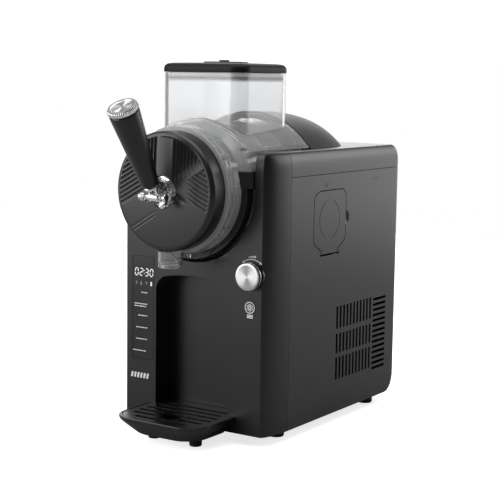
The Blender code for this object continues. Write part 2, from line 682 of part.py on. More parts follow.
# ------------------------------------------------------------------ front cover and tap
def make_front_cover():
    centre = (0, 0, AXIS_Z)
    inner = COVER_R - 3.0
    cover = turned("front_cover", [(BOSS_R + GAP, COVER_FRONT - 1.2), (45, COVER_FRONT - 1.0),
                                   (COVER_R - 2.2, COVER_FRONT), (COVER_R, COVER_FRONT + 2.2),
                                   (COVER_R, -30.5), (inner, -30.5), (inner, COVER_FRONT + 3.4),
                                   (BOSS_R + GAP, COVER_FRONT + 2.4)],
                   "black plastic", "Y", centre, VESSEL_EMPTY, steps=36)
    outlet = tool("cover_outlet", cylinder(VALVE_BORE + 0.3, 200, 225, "Z", (0, VALVE_Y), 24))
    cut(cover, outlet)
    turned("front_seal", ring(60, 68, -30.1, RING_FRONT - 0.3), "silicone", "Y", centre,
           VESSEL_EMPTY, steps=36)

    valve = add("valve_body", cylinder(BOSS_R, BOSS_FRONT, -31, "Y", (0, AXIS_Z), 28),
                "clear plastic", VESSEL_EMPTY)
    plate = tool("valve_plate", cylinder(59.5, -34, -31, "Y", (0, AXIS_Z), 32))
    tower = tool("valve_tower", cylinder(VALVE_BORE + 1.9, 205, 270, "Z", (0, VALVE_Y), 22))
    ears = tool("hinge_ears", boxes([((8.2, PIVOT_Y - 5.5, PIVOT_Z - 5.5), (11.6, -60, PIVOT_Z + 5.5)),
                                     ((-11.6, PIVOT_Y - 5.5, PIVOT_Z - 5.5), (-8.2, -60, PIVOT_Z + 5.5))]))
    round_limit = tool("valve_limit", cylinder(COVER_R - 3.4, -90, -30.6, "Y", (0, AXIS_Z), 48))
    bore = tool("valve_bore", cylinder(VALVE_BORE, 200, 300, "Z", (0, VALVE_Y), 22))
    slot = tool("lever_slot", box((-7, -80, PIVOT_Z - 7), (7, -50, 286)))
    rise = tool("lever_rise", box((-7, -53, PIVOT_Z - 7), (7, VALVE_Y, 300)))
    port = tool("valve_port", cylinder(6, VALVE_Y, -20, "Y", (0, 225), 20))
    pin_hole = tool("pin_hole", cylinder(3.0, -30, 30, "X", (PIVOT_Y, PIVOT_Z), 16))
    join(valve, plate, tower, ears)
    keep(valve, round_limit)
    cut(valve, bore, slot, rise, port, pin_hole)

    spout = turned("spout", [(11.2, 196), (11.2, 215), (13.4, 215), (13.4, 194), (12.6, 193),
                             (11.8, 193)], "clear plastic", "Z", (0, VALVE_Y, 0), VESSEL_EMPTY, steps=28)
    above = tool("spout_above", cylinder(COVER_R + 0.4, -90, -29.9, "Y", (0, AXIS_Z), 48))
    above_ring = tool("spout_above_ring", cylinder(RING_R + 0.4, -30.2, -5, "Y", (0, AXIS_Z), 48))
    cut(spout, above, above_ring)


def make_tap():
    axis = empty("tap_handle_axis", (0, PIVOT_Y, PIVOT_Z), VESSEL_EMPTY)
    pivot = (0, PIVOT_Y, PIVOT_Z)
    lean = (TILT, 0, 0)
    lever = add("tap_lever", cylinder(5.2, -6.5, 6.5, "X", (0, 0), 24), "chrome", axis, pivot)
    arms = tool("lever_arms", boxes([((3.9, 0, -2), (6.3, 27.5, 2)), ((-6.3, 0, -2), (-3.9, 27.5, 2))]),
                pivot)
    fork = tool("lever_fork", boxes([((3.2, -1.7, 0), (6.2, 1.7, 15)), ((-6.2, -1.7, 0), (-3.2, 1.7, 15))]),
                pivot, lean)
    collar = tool("lever_collar", cylinder(8.6, 12.2, GRIP_START - GAP, "Z", (0, 0), 24), pivot, lean)
    stud = tool("lever_stud", cylinder(3.8, 14, 62, "Z", (0, 0), 16), pivot, lean)
    hole = tool("lever_hole", cylinder(3.0, -20, 20, "X", (0, 0), 20), pivot)
    join(lever, arms, fork, collar, stud)
    cut(lever, hole)
    turned("tap_pin", [(0, -20.5), (3.6, -20.5), (3.6, -18.5), (2.65, -18.5), (2.65, 12.4),
                       (4.2, 12.4), (4.2, 15), (0, 15)],
           "chrome", "X", pivot, VESSEL_EMPTY, closed=False, steps=14)
    turns, per_turn = 3.5, 8
    coil = []
    for i in range(int(turns * per_turn) + 1):
        angle = 2 * math.pi * i / per_turn
        coil.append((-17.5 + 4.9 * i / (turns * per_turn), PIVOT_Y + 4.3 * math.cos(angle),
                     PIVOT_Z + 4.3 * math.sin(angle)))
    tube("tap_spring", coil, 0.6, "steel", VESSEL_EMPTY, 0)
    grip = add("tap_grip", profile_mesh([(0, 64), (4.2, 64), (4.2, GRIP_START),
                                         (GRIP_R_LOW - 1, GRIP_START),
                                         (GRIP_R_LOW, GRIP_START + 1.5), (GRIP_R_HIGH - 0.2, 98),
                                         (GRIP_R_HIGH, GRIP_START + GRIP_LENGTH - 1.5),
                                         (GRIP_R_HIGH - 1, GRIP_START + GRIP_LENGTH),
                                         (0, GRIP_START + GRIP_LENGTH)], False),
               "black plastic", axis, pivot, lean)
    turn_profile(grip, 26)
    start = GRIP_START + GRIP_LENGTH + GAP
    teeth, points = 28, []
    for i in range(2 * teeth):
        angle = math.pi * i / teeth
        r = CAP_R - (0.9 if i % 2 else 0.0)
        points.append((r * math.cos(angle), r * math.sin(angle)))
    cap = add("grip_cap", prism(points, "XY", start, start + CAP_HEIGHT, 0), "aluminium", axis, pivot, lean)
    top = start + CAP_HEIGHT
    trim = turn_profile(tool("cap_trim", profile_mesh([(0, start - 1), (CAP_R + 1, start - 1),
                                                       (CAP_R + 1, top - CAP_CHAMFER - 1),
                                                       (CAP_R - CAP_CHAMFER, top), (11.5, top),
                                                       (11.0, top - 0.6), (0, top - 0.6)], False),
                             pivot, lean), 32)
    keep(cap, trim)


def make_plunger():
    axis = empty("plunger_axis", (0, VALVE_Y, 215), VESSEL_EMPTY)
    r = VALVE_BORE - 0.4
    turned("plunger", [(0, 215.5), (r, 215.5), (r, 217.2), (5.8, 217.2), (5.8, 219.8), (r, 219.8),
                       (r, 234), (3, 236), (3, 273), (7.6, 273), (7.6, 274.4), (0, 274.4)],
           "white plastic", "Z", (0, VALVE_Y, 0), axis, closed=False, steps=18)
    turned("plunger_seal", ring(6.1, r + 0.2, 217.5, 219.5), "silicone", "Z", (0, VALVE_Y, 0), axis,
           steps=18)


# ------------------------------------------------------------------ auger drive
def gear_outline(teeth, phase):
    """Involute teeth of 20 degrees pressure angle with a little backlash, phase in degrees."""
    pitch_r = GEAR_MODULE * teeth / 2
    base_r = pitch_r * math.cos(math.radians(20))
    tip_r = pitch_r + 0.9 * GEAR_MODULE
    root_r = pitch_r - 1.25 * GEAR_MODULE
    start_r = max(base_r, root_r + 0.3)

    def spread(r):
        turn = math.sqrt(max(0.0, (r / base_r) ** 2 - 1))
        return turn - math.atan(turn)

    half_tooth = math.pi / (2 * teeth) - 0.14 / pitch_r + spread(pitch_r)
    radii = [start_r + (tip_r - start_r) * i for i in (0.5, 1.0)]
    points = []
    for tooth in range(teeth):
        middle = math.radians(phase) + 2 * math.pi * tooth / teeth
        flank = [(root_r, half_tooth - spread(start_r))] + [(r, half_tooth - spread(r)) for r in radii]
        for r, half in flank:
            points.append((r * math.cos(middle - half), r * math.sin(middle - half)))
        for r, half in reversed(flank):
            points.append((r * math.cos(middle + half), r * math.sin(middle + half)))
    return points


def make_drive():
    centre = (0, 0, AXIS_Z)
    turned("bulkhead", ring(10.2, 79.6, DOME_FRONT - 0.3, DOME_FRONT + 2.2), "stainless", "Y", centre,
           steps=40)
    rear = DOME_FRONT - 0.6
    turned("freezing_drum", [(7, DRUM_FRONT), (DRUM_R - 3, DRUM_FRONT), (DRUM_R, DRUM_FRONT + 3),
                             (DRUM_R, rear), (DRUM_R - 2, rear), (DRUM_R - 2, DRUM_FRONT + 4),
                             (DRUM_R - 4, DRUM_FRONT + 2.2), (9.8, DRUM_FRONT + 2.2), (9.8, 122), (7, 122)],
           "stainless", "Y", centre, steps=30)
    turns, per_turn = 4, 10
    coil = []
    for i in range(turns * per_turn + 1):
        angle = 2 * math.pi * i / per_turn
        coil.append((44.5 * math.cos(angle), 30 + 70 * i / (turns * per_turn),
                     AXIS_Z + 44.5 * math.sin(angle)))
    tube("evaporator_coil", coil, 3.5, "copper", resolution=0)

    axis = empty("auger_axis", (0, 60, AXIS_Z), MACHINE)
    turned("drive_shaft", [(0, 5), (SHAFT_R - 0.6, 5), (SHAFT_R, 5.6), (SHAFT_R, 139), (0, 139)],
           "stainless", "Y", centre, axis, closed=False, steps=20)
    ribbon = bpy.data.meshes.new("ribbon")
    ribbon.from_pydata([((DRUM_R + 1.6) * MM, 0, 0), (AUGER_R * MM, 0, 0)], [(0, 1)], [])
    auger = add("auger", ribbon, "white plastic", axis, (0, 12.5, AXIS_Z), EULER_TO["Y"])
    screw = auger.modifiers.new("helix", "SCREW")
    screw.axis = "Z"
    screw.angle = 4.4 * math.pi
    screw.screw_offset = 86 * MM
    screw.steps = 34
    screw.render_steps = 34
    screw.use_merge_vertices = False
    screw.merge_threshold = 0.00001
    solid = auger.modifiers.new("thickness", "SOLIDIFY")
    solid.thickness = 3.2 * MM
    solid.offset = 0.0
    bm = bmesh.new()
    for turn in (0, 120, 240):
        spin = Matrix.Translation(Vector((0, 0, AXIS_Z)) * MM) @ Matrix.Rotation(math.radians(turn), 4, "Y")
        made = add_box(bm, (8, 10, -4.5), (AUGER_R - 2, 14.5, 4.5))
        bmesh.ops.transform(bm, matrix=spin, verts=made)
    spokes = tool("auger_spokes", mesh_from(bm, "spokes"))
    hub = turned_tool("auger_hub", ring(SHAFT_R + 0.3, 15, 7.5, 15.5), "Y", centre, steps=32)
    rim = turned_tool("auger_rim", ring(DRUM_R + 1.8, AUGER_R - 0.8, 9.8, 14.8), "Y", centre, steps=36)
    join(auger, rim, spokes, hub)
    turned("shaft_seal", ring(SHAFT_R + 0.3, 12, 16.0, DRUM_FRONT - 0.4), "silicone", "Y", centre,
           steps=20)
    turned("shaft_bearing", ring(SHAFT_R + 0.3, 14, 122.4, 127.6), "brass", "Y", centre, steps=20)
    gear = add("drive_gear", prism(gear_outline(GEAR_TEETH, -90), "XZ", GEAR_FRONT, GEAR_REAR), "nylon",
               axis, centre)
    cut(gear, tool("gear_bore", cylinder(SHAFT_R + 0.3, 100, 150, "Y", (0, AXIS_Z), 20)))
    pinion_axis = empty("motor_pinion_axis", (0, 133, PINION_Z), MACHINE)
    pinion = add("motor_pinion", prism(gear_outline(PINION_TEETH, 90 - 180 / PINION_TEETH), "XZ",
                                       GEAR_FRONT, GEAR_REAR), "steel", pinion_axis, (0, 0, PINION_Z))
    cut(pinion, tool("pinion_bore", cylinder(4.3, 100, 150, "Y", (0, PINION_Z), 20)))
    turned("gearmotor", [(0, 128), (4, 128), (4, 138.4), (26, 138.4), (30, 141), (30, 168), (26, 170),
                         (26, 206), (23, 209), (0, 209)], "steel", "Y", (0, 0, PINION_Z), closed=False,
           steps=20)


# ------------------------------------------------------------------ refrigeration and electrics
def make_cooling():
    turned("compressor", [(0, 16.2), (40, 16.2), (46, 24), (46, 92), (42, 108), (30, 116), (12, 119),
                          (0, 119)], "painted steel", "Z", (-30, 214, 0), closed=False, steps=24)
    condenser = add("condenser", box((66, 142, 22), (90, 232, 142)), "aluminium")
    grooves = [((60, 146 + 5.4 * i, 26), (88, 149 + 5.4 * i, 138)) for i in range(16)]
    cut(condenser, tool("condenser_grooves", boxes(grooves)))
    shroud = add("fan_shroud", box((52, 142, 22), (64.5, 232, 142), 1.0, 1), "black plastic")
    fan_y, fan_z = 187.0, 82.0
    cut(shroud, tool("shroud_hole", cylinder(41, 40, 80, "X", (fan_y, fan_z), 40)))
    axis = empty("condenser_fan_axis", (56, fan_y, fan_z), MACHINE)
    fan = turned("condenser_fan", [(0, 51), (10, 51), (12, 53), (12, 61), (3, 61), (3, 63.5), (0, 63.5)],
                 "black plastic", "X", (0, fan_y, fan_z), axis, closed=False, steps=24)
    bm = bmesh.new()
    for i in range(5):
        made = add_box(bm, (-0.9, -8, 9), (0.9, 8, 38.5))
        pitch = Matrix.Rotation(math.radians(32), 4, "Z")
        spin = Matrix.Translation(Vector((57, fan_y, fan_z)) * MM) @ Matrix.Rotation(
            math.radians(72 * i), 4, "X")
        bmesh.ops.transform(bm, matrix=spin @ pitch, verts=made)
    join(fan, tool("fan_blades", mesh_from(bm, "blades")))
    turned("fan_motor", [(0, 28), (15, 28), (15, 46), (4, 46), (4, 50.4), (0, 50.4)], "steel", "X",
           (0, fan_y, fan_z), closed=False, steps=16)
    pipe = [(-30, 167.5, 60), (-30, 160, 60), (-34, 152, 64), (-40, 148, 72), (-44, 146, 90),
            (-46, 145, 120), (-48, 144, 150), (-52, 142, 170), (-58, 136, 182), (-62, 128, 190),
            (-62, 121, 200), (-58, 118, 214), (-48, 117, 230), (-38, 117, 242), (-30, 117, 250)]
    tube("refrigerant_pipe", pipe, 3.2, "copper", resolution=1)


# ------------------------------------------------------------------ drip tray
def tray_ring(z, inset, rear_inset=0.0):
    """The tray seen from above at one height: straight behind, round-cornered in front."""
    taper = inset
    x = TRAY_X - taper
    front = TRAY_FRONT + taper
    r = 26.0
    right = arc(x - r, front + r, r, r, -90, 0, 6) + [(x, -GAP - rear_inset)]
    left = [(-px, py) for px, py in reversed(right)]
    return [(px, py, z) for px, py in right + left]


def make_tray():
    axis = empty("drip_tray_axis", (0, -35, TRAY_BOTTOM), MACHINE)
    tray = add("drip_tray", loft([tray_ring(TRAY_BOTTOM, 14.0), tray_ring(14, 10.5), tray_ring(24, 1.8),
                                  tray_ring(27.5, 0.2), tray_ring(TRAY_TOP, 0.0)]), "black plastic", axis)
    tongue = tool("tray_tongue", box((-48.6, -6, 17.0), (48.6, RECESS_DEPTH - 1.2, TRAY_TOP)))
    basin = tool("tray_basin", loft([tray_ring(12.2, 15.5, 3.0), tray_ring(15, 12.6, 3.0),
                                     tray_ring(24, 5.0, 3.0), tray_ring(26, 4.6, 3.0)]))
    mouth = tool("tray_mouth", loft([tray_ring(25.8, 2.2, 2.2), tray_ring(40, 2.2, 2.2)]))
    tongue_space = tool("tongue_space", box((-46.4, -12, 19.2), (46.4, RECESS_DEPTH - 3.4, 40)))
    join(tray, tongue)
    cut(tray, basin, mouth, tongue_space)
    grate_axis = empty("drip_grate_axis", (0, -35, 26), axis)
    grate = add("drip_grate", loft([tray_ring(26.3, 2.6, 2.6), tray_ring(TRAY_TOP - 0.5, 2.6, 2.6)]),
                "black plastic", grate_axis)
    tail = tool("grate_tail", box((-46.0, -12, 26.3), (46.0, RECESS_DEPTH - 3.8, TRAY_TOP - 0.5)))
    slots = []
    for i, half in enumerate((44, 44, 48, 48, 46, 34)):
        y = 8.5 - 13.0 * i
        if i == 3 or i == 4:
            slots.append(((-half, y - 3, 20), (-16, y + 3, 40)))
            slots.append(((16, y - 3, 20), (half, y + 3, 40)))
        else:
            slots.append(((-half, y - 3, 20), (half, y + 3, 40)))
    join(grate, tail)
    cut(grate, tool("grate_slots", boxes(slots)),
        tool("grate_hole", cylinder(11.5, 20, 40, "Z", (0, -37), 28)))
    for name, x in (("tray_foot_left", -28), ("tray_foot_right", 28)):
        turned(name, [(0, 0), (6, 0), (6.8, 1), (7.2, TRAY_BOTTOM - 0.3), (0, TRAY_BOTTOM - 0.3)],
               "rubber", "Z", (x, -30, 0), axis, closed=False, steps=16)


# ------------------------------------------------------------------ the whole machine
VESSEL_EMPTY = empty("vessel_axis", (0, 40, AXIS_Z), MACHINE)
make_front_shell()
make_side_panel(1)
make_side_panel(-1)
make_top_cover()
make_rear_cover()
make_rear_dome()
make_cradle()
make_base()
make_hatch()
make_inlet()
make_controls()
make_vessel()
make_collar()
make_lid()
make_front_cover()
make_tap()
make_plunger()
make_drive()
make_cooling()
make_tray()
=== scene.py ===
"""Looks of the slush machine: fine meshes, finishes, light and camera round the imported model.

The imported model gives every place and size. Meshes are modelled in millimetres, with x across
(the control knob's side is +x), y behind the flat of the front panel and z above the counter;
ROW turns them into metres in the row frame.
"""
import json
from math import cos, exp, pi, radians, sin, sqrt, tan

import bmesh
import bpy
from mathutils import Matrix, Vector


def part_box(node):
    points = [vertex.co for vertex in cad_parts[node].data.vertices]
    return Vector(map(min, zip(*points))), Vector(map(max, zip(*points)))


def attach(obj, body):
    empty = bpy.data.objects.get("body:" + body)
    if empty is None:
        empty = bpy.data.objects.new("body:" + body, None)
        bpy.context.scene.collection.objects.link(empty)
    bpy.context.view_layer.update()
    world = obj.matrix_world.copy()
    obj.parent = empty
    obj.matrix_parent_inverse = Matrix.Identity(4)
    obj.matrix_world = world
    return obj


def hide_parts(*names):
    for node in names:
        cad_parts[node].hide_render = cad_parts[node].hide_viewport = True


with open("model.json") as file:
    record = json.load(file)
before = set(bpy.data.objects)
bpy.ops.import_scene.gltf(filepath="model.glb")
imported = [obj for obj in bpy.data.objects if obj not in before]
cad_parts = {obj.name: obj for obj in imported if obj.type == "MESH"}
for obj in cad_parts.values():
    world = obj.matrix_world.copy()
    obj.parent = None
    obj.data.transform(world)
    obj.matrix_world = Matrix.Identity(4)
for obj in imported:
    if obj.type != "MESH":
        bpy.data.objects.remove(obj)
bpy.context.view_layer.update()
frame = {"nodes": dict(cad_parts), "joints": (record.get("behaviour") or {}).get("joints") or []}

MM = 0.001
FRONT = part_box("front_shell")[0].y
ROW = Matrix.Translation((0.0, FRONT, 0.0)) @ Matrix.Scale(MM, 4)


class Span:
    """A CAD node's box in modelling millimetres."""

    def __init__(self, node):
        low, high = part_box(node)
        self.x0, self.x1 = low.x / MM, high.x / MM
        self.y0, self.y1 = (low.y - FRONT) / MM, (high.y - FRONT) / MM
        self.z0, self.z1 = low.z / MM, high.z / MM
        self.x = (self.x0 + self.x1) / 2
        self.y = (self.y0 + self.y1) / 2
        self.z = (self.z0 + self.z1) / 2


SHELL = Span("front_shell")
REAR_COVER = Span("rear_cover")
TOP_COVER = Span("top_cover")
DRUM = Span("freezing_drum")
VESSEL = Span("vessel")
COVER = Span("front_cover")
LID = Span("lid")
FLAP = Span("refill_flap")
DOME = Span("rear_dome")
CRADLE = Span("cradle")
VALVE = Span("valve_body")
SPOUT = Span("spout")
KNOB = Span("level_knob")
BEZEL = Span("knob_bezel")
BUTTON = Span("mode_button")
WINDOW = Span("display_window")
TRAY = Span("drip_tray")
GRATE = Span("drip_grate")
HATCH = Span("side_hatch")
PIN = Span("tap_pin")
SPRING = Span("tap_spring")
INLET = Span("power_inlet")
COLLAR = Span("vessel_collar")

AXIS_Z = DRUM.z
AXIS = (0, 0, AXIS_Z)
HALF = SHELL.x1
REAR = REAR_COVER.y1
BOTTOM = SHELL.z0
TOP = SHELL.z1
SEAM_Y = SHELL.y1
SEAM_Z = TOP_COVER.z0
REAR_SEAM = REAR_COVER.x1
COVER_R = COVER.x1
KNOB_R = KNOB.x1 - KNOB.x
PIVOT = [j["pos_m"] for j in frame["joints"] if j["name"] == "tap_handle_pull"][0]
PIVOT_Y, PIVOT_Z = (PIVOT[1] - FRONT) / MM, PIVOT[2] / MM

# Sizes that the boxes don't give, in millimetres.
GAP = 0.4
WALL = 2.5
FRONT_FLAT = 90.0
FRONT_WRAP = 42.0
REAR_CORNER = 12.0
TOP_ROUND = 6.0
TOP_ROUND_REAR = 14.0
TOP_ROUND_HEIGHT = 19.0
REAR_BOTTOM_ROUND = 22.0
CRADLE_R = 80.5
BARREL_R = 77.5
RING_R = 69.0
RING_REAR = -8.0
VESSEL_WALL = 3.0
BARREL_FRONT = 13.0
BARREL_REAR = 104.0
FAIRING_Z = 254.0
FAIRING_R_FRONT = 95.8
FAIRING_R = 103.0
FAIRING_FRONT = 3.0
FAIRING_BOTTOM = 318.4
HOPPER_X = 55.0
HOPPER_FRONT = 10.0
HOPPER_CORNER = 16.0
TILT = radians(30.0)
VALVE_BORE = 8.3
BOSS_R = 16.5

# Planes clear of the housing, for tools that cut right through it.
UNDER = -20.0
ASIDE = 130.0
BEHIND = 330.0
BELOW = -40.0
ABOVE = 360.0


def sin_d(degrees):
    return sin(radians(degrees))


def cos_d(degrees):
    return cos(radians(degrees))


# ---- outlines
def arc(cx, cy, rx, ry, first, last, count):
    """Points on an elliptical arc, angles in degrees."""
    angles = [radians(first + (last - first) * i / count) for i in range(count + 1)]
    return [(cx + rx * cos(a), cy + ry * sin(a)) for a in angles]


def rounded(x0, x1, y0, y1, r, count=10):
    return (arc(x1 - r, y0 + r, r, r, -90, 0, count) + arc(x1 - r, y1 - r, r, r, 0, 90, count)
            + arc(x0 + r, y1 - r, r, r, 90, 180, count) + arc(x0 + r, y0 + r, r, r, 180, 270, count))


def soften(points, radius, closed=True, count=4):
    """Rounds an outline's corners; a point may carry its own radius as a third number."""
    out = []
    last = len(points) - 1
    for i, point in enumerate(points):
        here = Vector(point[:2])
        r = point[2] if len(point) > 2 else radius
        if not r or (not closed and i in (0, last)):
            out.append(tuple(here))
            continue
        before = Vector(points[i - 1][:2]) - here
        after = Vector(points[(i + 1) % len(points)][:2]) - here
        r = min(r, before.length * 0.48, after.length * 0.48)
        a, b = here + before.normalized() * r, here + after.normalized() * r
        for k in range(count + 1):
            t = k / count
            out.append(tuple(a * (1 - t) ** 2 + here * 2 * t * (1 - t) + b * t * t))
    return out


# ---- mesh makers, all in millimetres
def done(bm, name="mesh"):
    bmesh.ops.recalc_face_normals(bm, faces=bm.faces)
    mesh = bpy.data.meshes.new(name)
    bm.to_mesh(mesh)
    bm.free()
    return mesh


def skin(bm, rings, wrap=False):
    """Quads between rings of points; open ends are capped unless the rings wrap round."""
    made = [[bm.verts.new(p) for p in ring] for ring in rings]
    pairs = list(zip(made, made[1:]))
    if wrap:
        pairs.append((made[-1], made[0]))
    for lower, upper in pairs:
        for i in range(len(lower)):
            j = (i + 1) % len(lower)
            bm.faces.new((lower[i], lower[j], upper[j], upper[i]))
    if not wrap:
        bm.faces.new(made[0][::-1])
        bm.faces.new(made[-1])


def loft(rings, wrap=False):
    bm = bmesh.new()
    skin(bm, rings, wrap)
    return done(bm)


PUT = {"XY": lambda a, b, c: (a, b, c),
       "XZ": lambda a, b, c: (a, c, b),
       "YZ": lambda a, b, c: (c, a, b)}


def prism(outline, plane, start, end, edge=0.0, grow=None):
    """An outline drawn out along the third axis. With edge, its rims are rounded by insetting `grow`."""
    put = PUT[plane]
    if not edge:
        return loft([[put(a, b, c) for a, b in outline] for c in (start, end)])
    steps = [(edge * (1 - sin_d(a)), edge * (1 - cos_d(a))) for a in (0, 22.5, 45, 67.5, 90)]
    sign = 1 if end > start else -1
    rings = [(inset, start + sign * lift) for inset, lift in steps]
    rings += [(inset, end - sign * lift) for inset, lift in reversed(steps)]
    return loft([[put(a, b, c) for a, b in grow(inset)] for inset, c in rings])


def box(low, high, edge=0.0, segments=3):
    bm = bmesh.new()
    size = Vector(high) - Vector(low)
    middle = (Vector(high) + Vector(low)) / 2
    bmesh.ops.create_cube(bm, size=1.0, matrix=Matrix.Translation(middle) @ Matrix.Diagonal((*size, 1.0)))
    if edge:
        bmesh.ops.bevel(bm, geom=bm.edges[:], offset=edge, segments=segments, profile=0.5, affect="EDGES")
    return done(bm)


def together(*meshes):
    """Several closed meshes in one."""
    bm = bmesh.new()
    for mesh in meshes:
        bm.from_mesh(mesh)
    return done(bm)


AXES = {"X": Matrix.Rotation(radians(90), 4, "Y"), "Y": Matrix.Rotation(radians(-90), 4, "X"),
    "Z": Matrix.Identity(4)}


def place(mesh, at=(0, 0, 0), axis="Z", lean=0.0):
    """Puts a mesh that was made about +Z along an axis, leant about X, at a point."""
    mesh.transform(Matrix.Translation(at) @ Matrix.Rotation(lean, 4, "X") @ AXES[axis])
    return mesh


def spun(profile, steps=96, shape=None, wrap=False):
    """A turned form about +Z from (radius, height) pairs; shape may move a point by its angle."""
    bm = bmesh.new()
    rows = []
    for index, (r, h) in enumerate(profile):
        if r < 1e-6:
            rows.append([bm.verts.new((0, 0, h))])
            continue
        row = []
        for i in range(steps):
            angle = 2 * pi * i / steps
            rr, hh = shape(r, h, angle, index) if shape else (r, h)
            row.append(bm.verts.new((rr * cos(angle), rr * sin(angle), hh)))
        rows.append(row)
    pairs = list(zip(rows, rows[1:]))
    if wrap:
        pairs.append((rows[-1], rows[0]))
    for lower, upper in pairs:
        for i in range(steps):
            j = (i + 1) % steps
            corners = [lower[i % len(lower)], lower[j % len(lower)], upper[j % len(upper)],
                upper[i % len(upper)]]
            corners = [v for k, v in enumerate(corners) if v not in corners[:k]]
            if len(corners) > 2:
                bm.faces.new(corners)
    return done(bm)


def lathe(points, radius, steps=96, shape=None, closed=False, count=4, wrap=False):
    """A turned form from a profile with softened corners."""
    return spun(soften(points, radius, closed, count), steps, shape, wrap)


def ring(inner, outer, start, end, edge=0.4, steps=96):
    """A plain ring with softened edges."""
    corners = [(inner, start), (outer, start), (outer, end), (inner, end)]
    return lathe(corners, edge, steps, closed=True, count=3, wrap=True)


def rod(radius, start, end, edge=0.4, steps=32):
    """A round bar with softened ends."""
    corners = [(0, start), (radius, start), (radius, end), (0, end)]
    return lathe(corners, edge, steps, count=3)


def sweep(points, radius, sides=12):
    """A round wire along a row of points."""
    rings = []
    for i, point in enumerate(points):
        here = Vector(point)
        before, after = points[max(i - 1, 0)], points[min(i + 1, len(points) - 1)]
        along = (Vector(after) - Vector(before)).normalized()
        side = along.cross(Vector((0.3, 0.2, 0.93))).normalized()
        other = along.cross(side)
        rings.append([here + (side * cos(a) + other * sin(a)) * radius
            for a in (2 * pi * k / sides for k in range(sides))])
    return loft(rings)


def worked(mesh, joins=(), keeps=(), cuts=(), edge=0.0, segments=2, angle=50):
    """A mesh after booleans and an edge rounding."""
    made = []

    def holder(item):
        made.append(add_object("work", item))
        return made[-1]

    body = holder(mesh)
    for operation, tools in (("UNION", joins), ("INTERSECT", keeps), ("DIFFERENCE", cuts)):
        for item in tools:
            step = body.modifiers.new("step", "BOOLEAN")
            step.operation = operation
            step.object = holder(item)
            step.solver = "EXACT"
    if edge:
        step = body.modifiers.new("edge", "BEVEL")
        step.width = edge
        step.segments = segments
        step.limit_method = "ANGLE"
        step.angle_limit = radians(angle)
        step.use_clamp_overlap = True
        step.loop_slide = False
    bpy.context.view_layer.update()
    result = bpy.data.meshes.new_from_object(body.evaluated_get(bpy.context.evaluated_depsgraph_get()))
    for thing in made:
        bpy.data.objects.remove(thing)
    return result


def add_object(name, data):
    thing = bpy.data.objects.new(name, data)
    bpy.context.scene.collection.objects.link(thing)
    return thing


def dress(mesh, look, sharp):
    """Gives a mesh its finish, smooth but for edges sharper than `sharp` degrees."""
    mesh.shade_smooth()
    mesh.set_sharp_from_angle(angle=radians(sharp))
    mesh.materials.clear()
    mesh.materials.append(LOOKS[look])


def piece(name, mesh, look, body, replaces=(), sharp=32):
    """A finished piece of the machine, from a mesh in modelling millimetres."""
    mesh.transform(ROW)
    mesh.name = name
    dress(mesh, look, sharp)
    thing = add_object(name, mesh)
    even = thing.modifiers.new("even_shading", "WEIGHTED_NORMAL")
    even.keep_sharp = True
    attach(thing, body)
    if replaces:
        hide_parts(*replaces)


# ---- finishes
LOOKS = {}
SLOTS = {}


def add_node(tree, kind, inputs=(), **settings):
    """A shader node. Each input is given a value, or the socket that feeds it."""
    node = tree.nodes.new("ShaderNode" + kind)
    for name, value in settings.items():
        setattr(node, name, value)
    feed(tree, node, dict(inputs))
    return node


def feed(tree, node, inputs):
    for socket, value in inputs.items():
        if isinstance(value, bpy.types.NodeSocket):
            tree.links.new(value, node.inputs[socket])
        else:
            node.inputs[socket].default_value = value


def finish(name, slot, colour, roughness, metallic=0.0, vary=0.15, cloud=14.0, grain=2500.0, bump=0.3,
           depth=0.00003, stretch=(1, 1, 1), rough_vary=0.06, tint=None, radial=False, **sockets):
    """A procedural finish: cloudy colour and roughness with a fine moulded, drawn or brushed grain."""
    material = bpy.data.materials.new(name)
    material.use_nodes = True
    tree = material.node_tree
    where = add_node(tree, "TexCoord").outputs["Object"]
    scaled = add_node(tree, "Mapping", {"Vector": where, "Scale": stretch}).outputs["Vector"]
    clouds = add_node(tree, "TexNoise", {"Vector": where, "Scale": cloud, "Detail": 5.0}).outputs["Fac"]
    fine = add_node(tree, "TexNoise", {"Vector": scaled, "Scale": grain, "Detail": 3.0}).outputs["Fac"]
    ramp = add_node(tree, "ValToRGB", {"Fac": clouds})
    stops = ramp.color_ramp.elements
    stops[0].position, stops[1].position = 0.3, 0.7
    stops[0].color = (*(c * (1 - vary) for c in colour), 1.0)
    stops[1].color = (*(min(1.0, c * (1 + vary)) for c in tint or colour), 1.0)
    half = add_node(tree, "Math", {0: clouds, 1: 0.5}, operation="MULTIPLY").outputs["Value"]
    mixed = add_node(tree, "Math", {0: fine, 1: 0.5, 2: half}, operation="MULTIPLY_ADD").outputs["Value"]
    spread = add_node(tree, "MapRange", {"Value": mixed, "To Min": max(0.0, roughness - rough_vary),
        "To Max": min(1.0, roughness + rough_vary)}).outputs["Result"]
    relief = add_node(tree, "Bump",
        {"Height": fine, "Strength": bump, "Distance": depth}).outputs["Normal"]
    inputs = {name.replace("_", " ").title().replace("Ior", "IOR"): value
        for name, value in sockets.items()}
    inputs.update({"Metallic": metallic, "Base Color": ramp.outputs["Color"], "Roughness": spread,
        "Normal": relief})
    if radial:
        turn = add_node(tree, "Tangent", direction_type="RADIAL", axis=radial)
        inputs["Tangent"] = turn.outputs["Tangent"]
    feed(tree, tree.nodes["Principled BSDF"], inputs)
    LOOKS[name], SLOTS[name] = material, slot


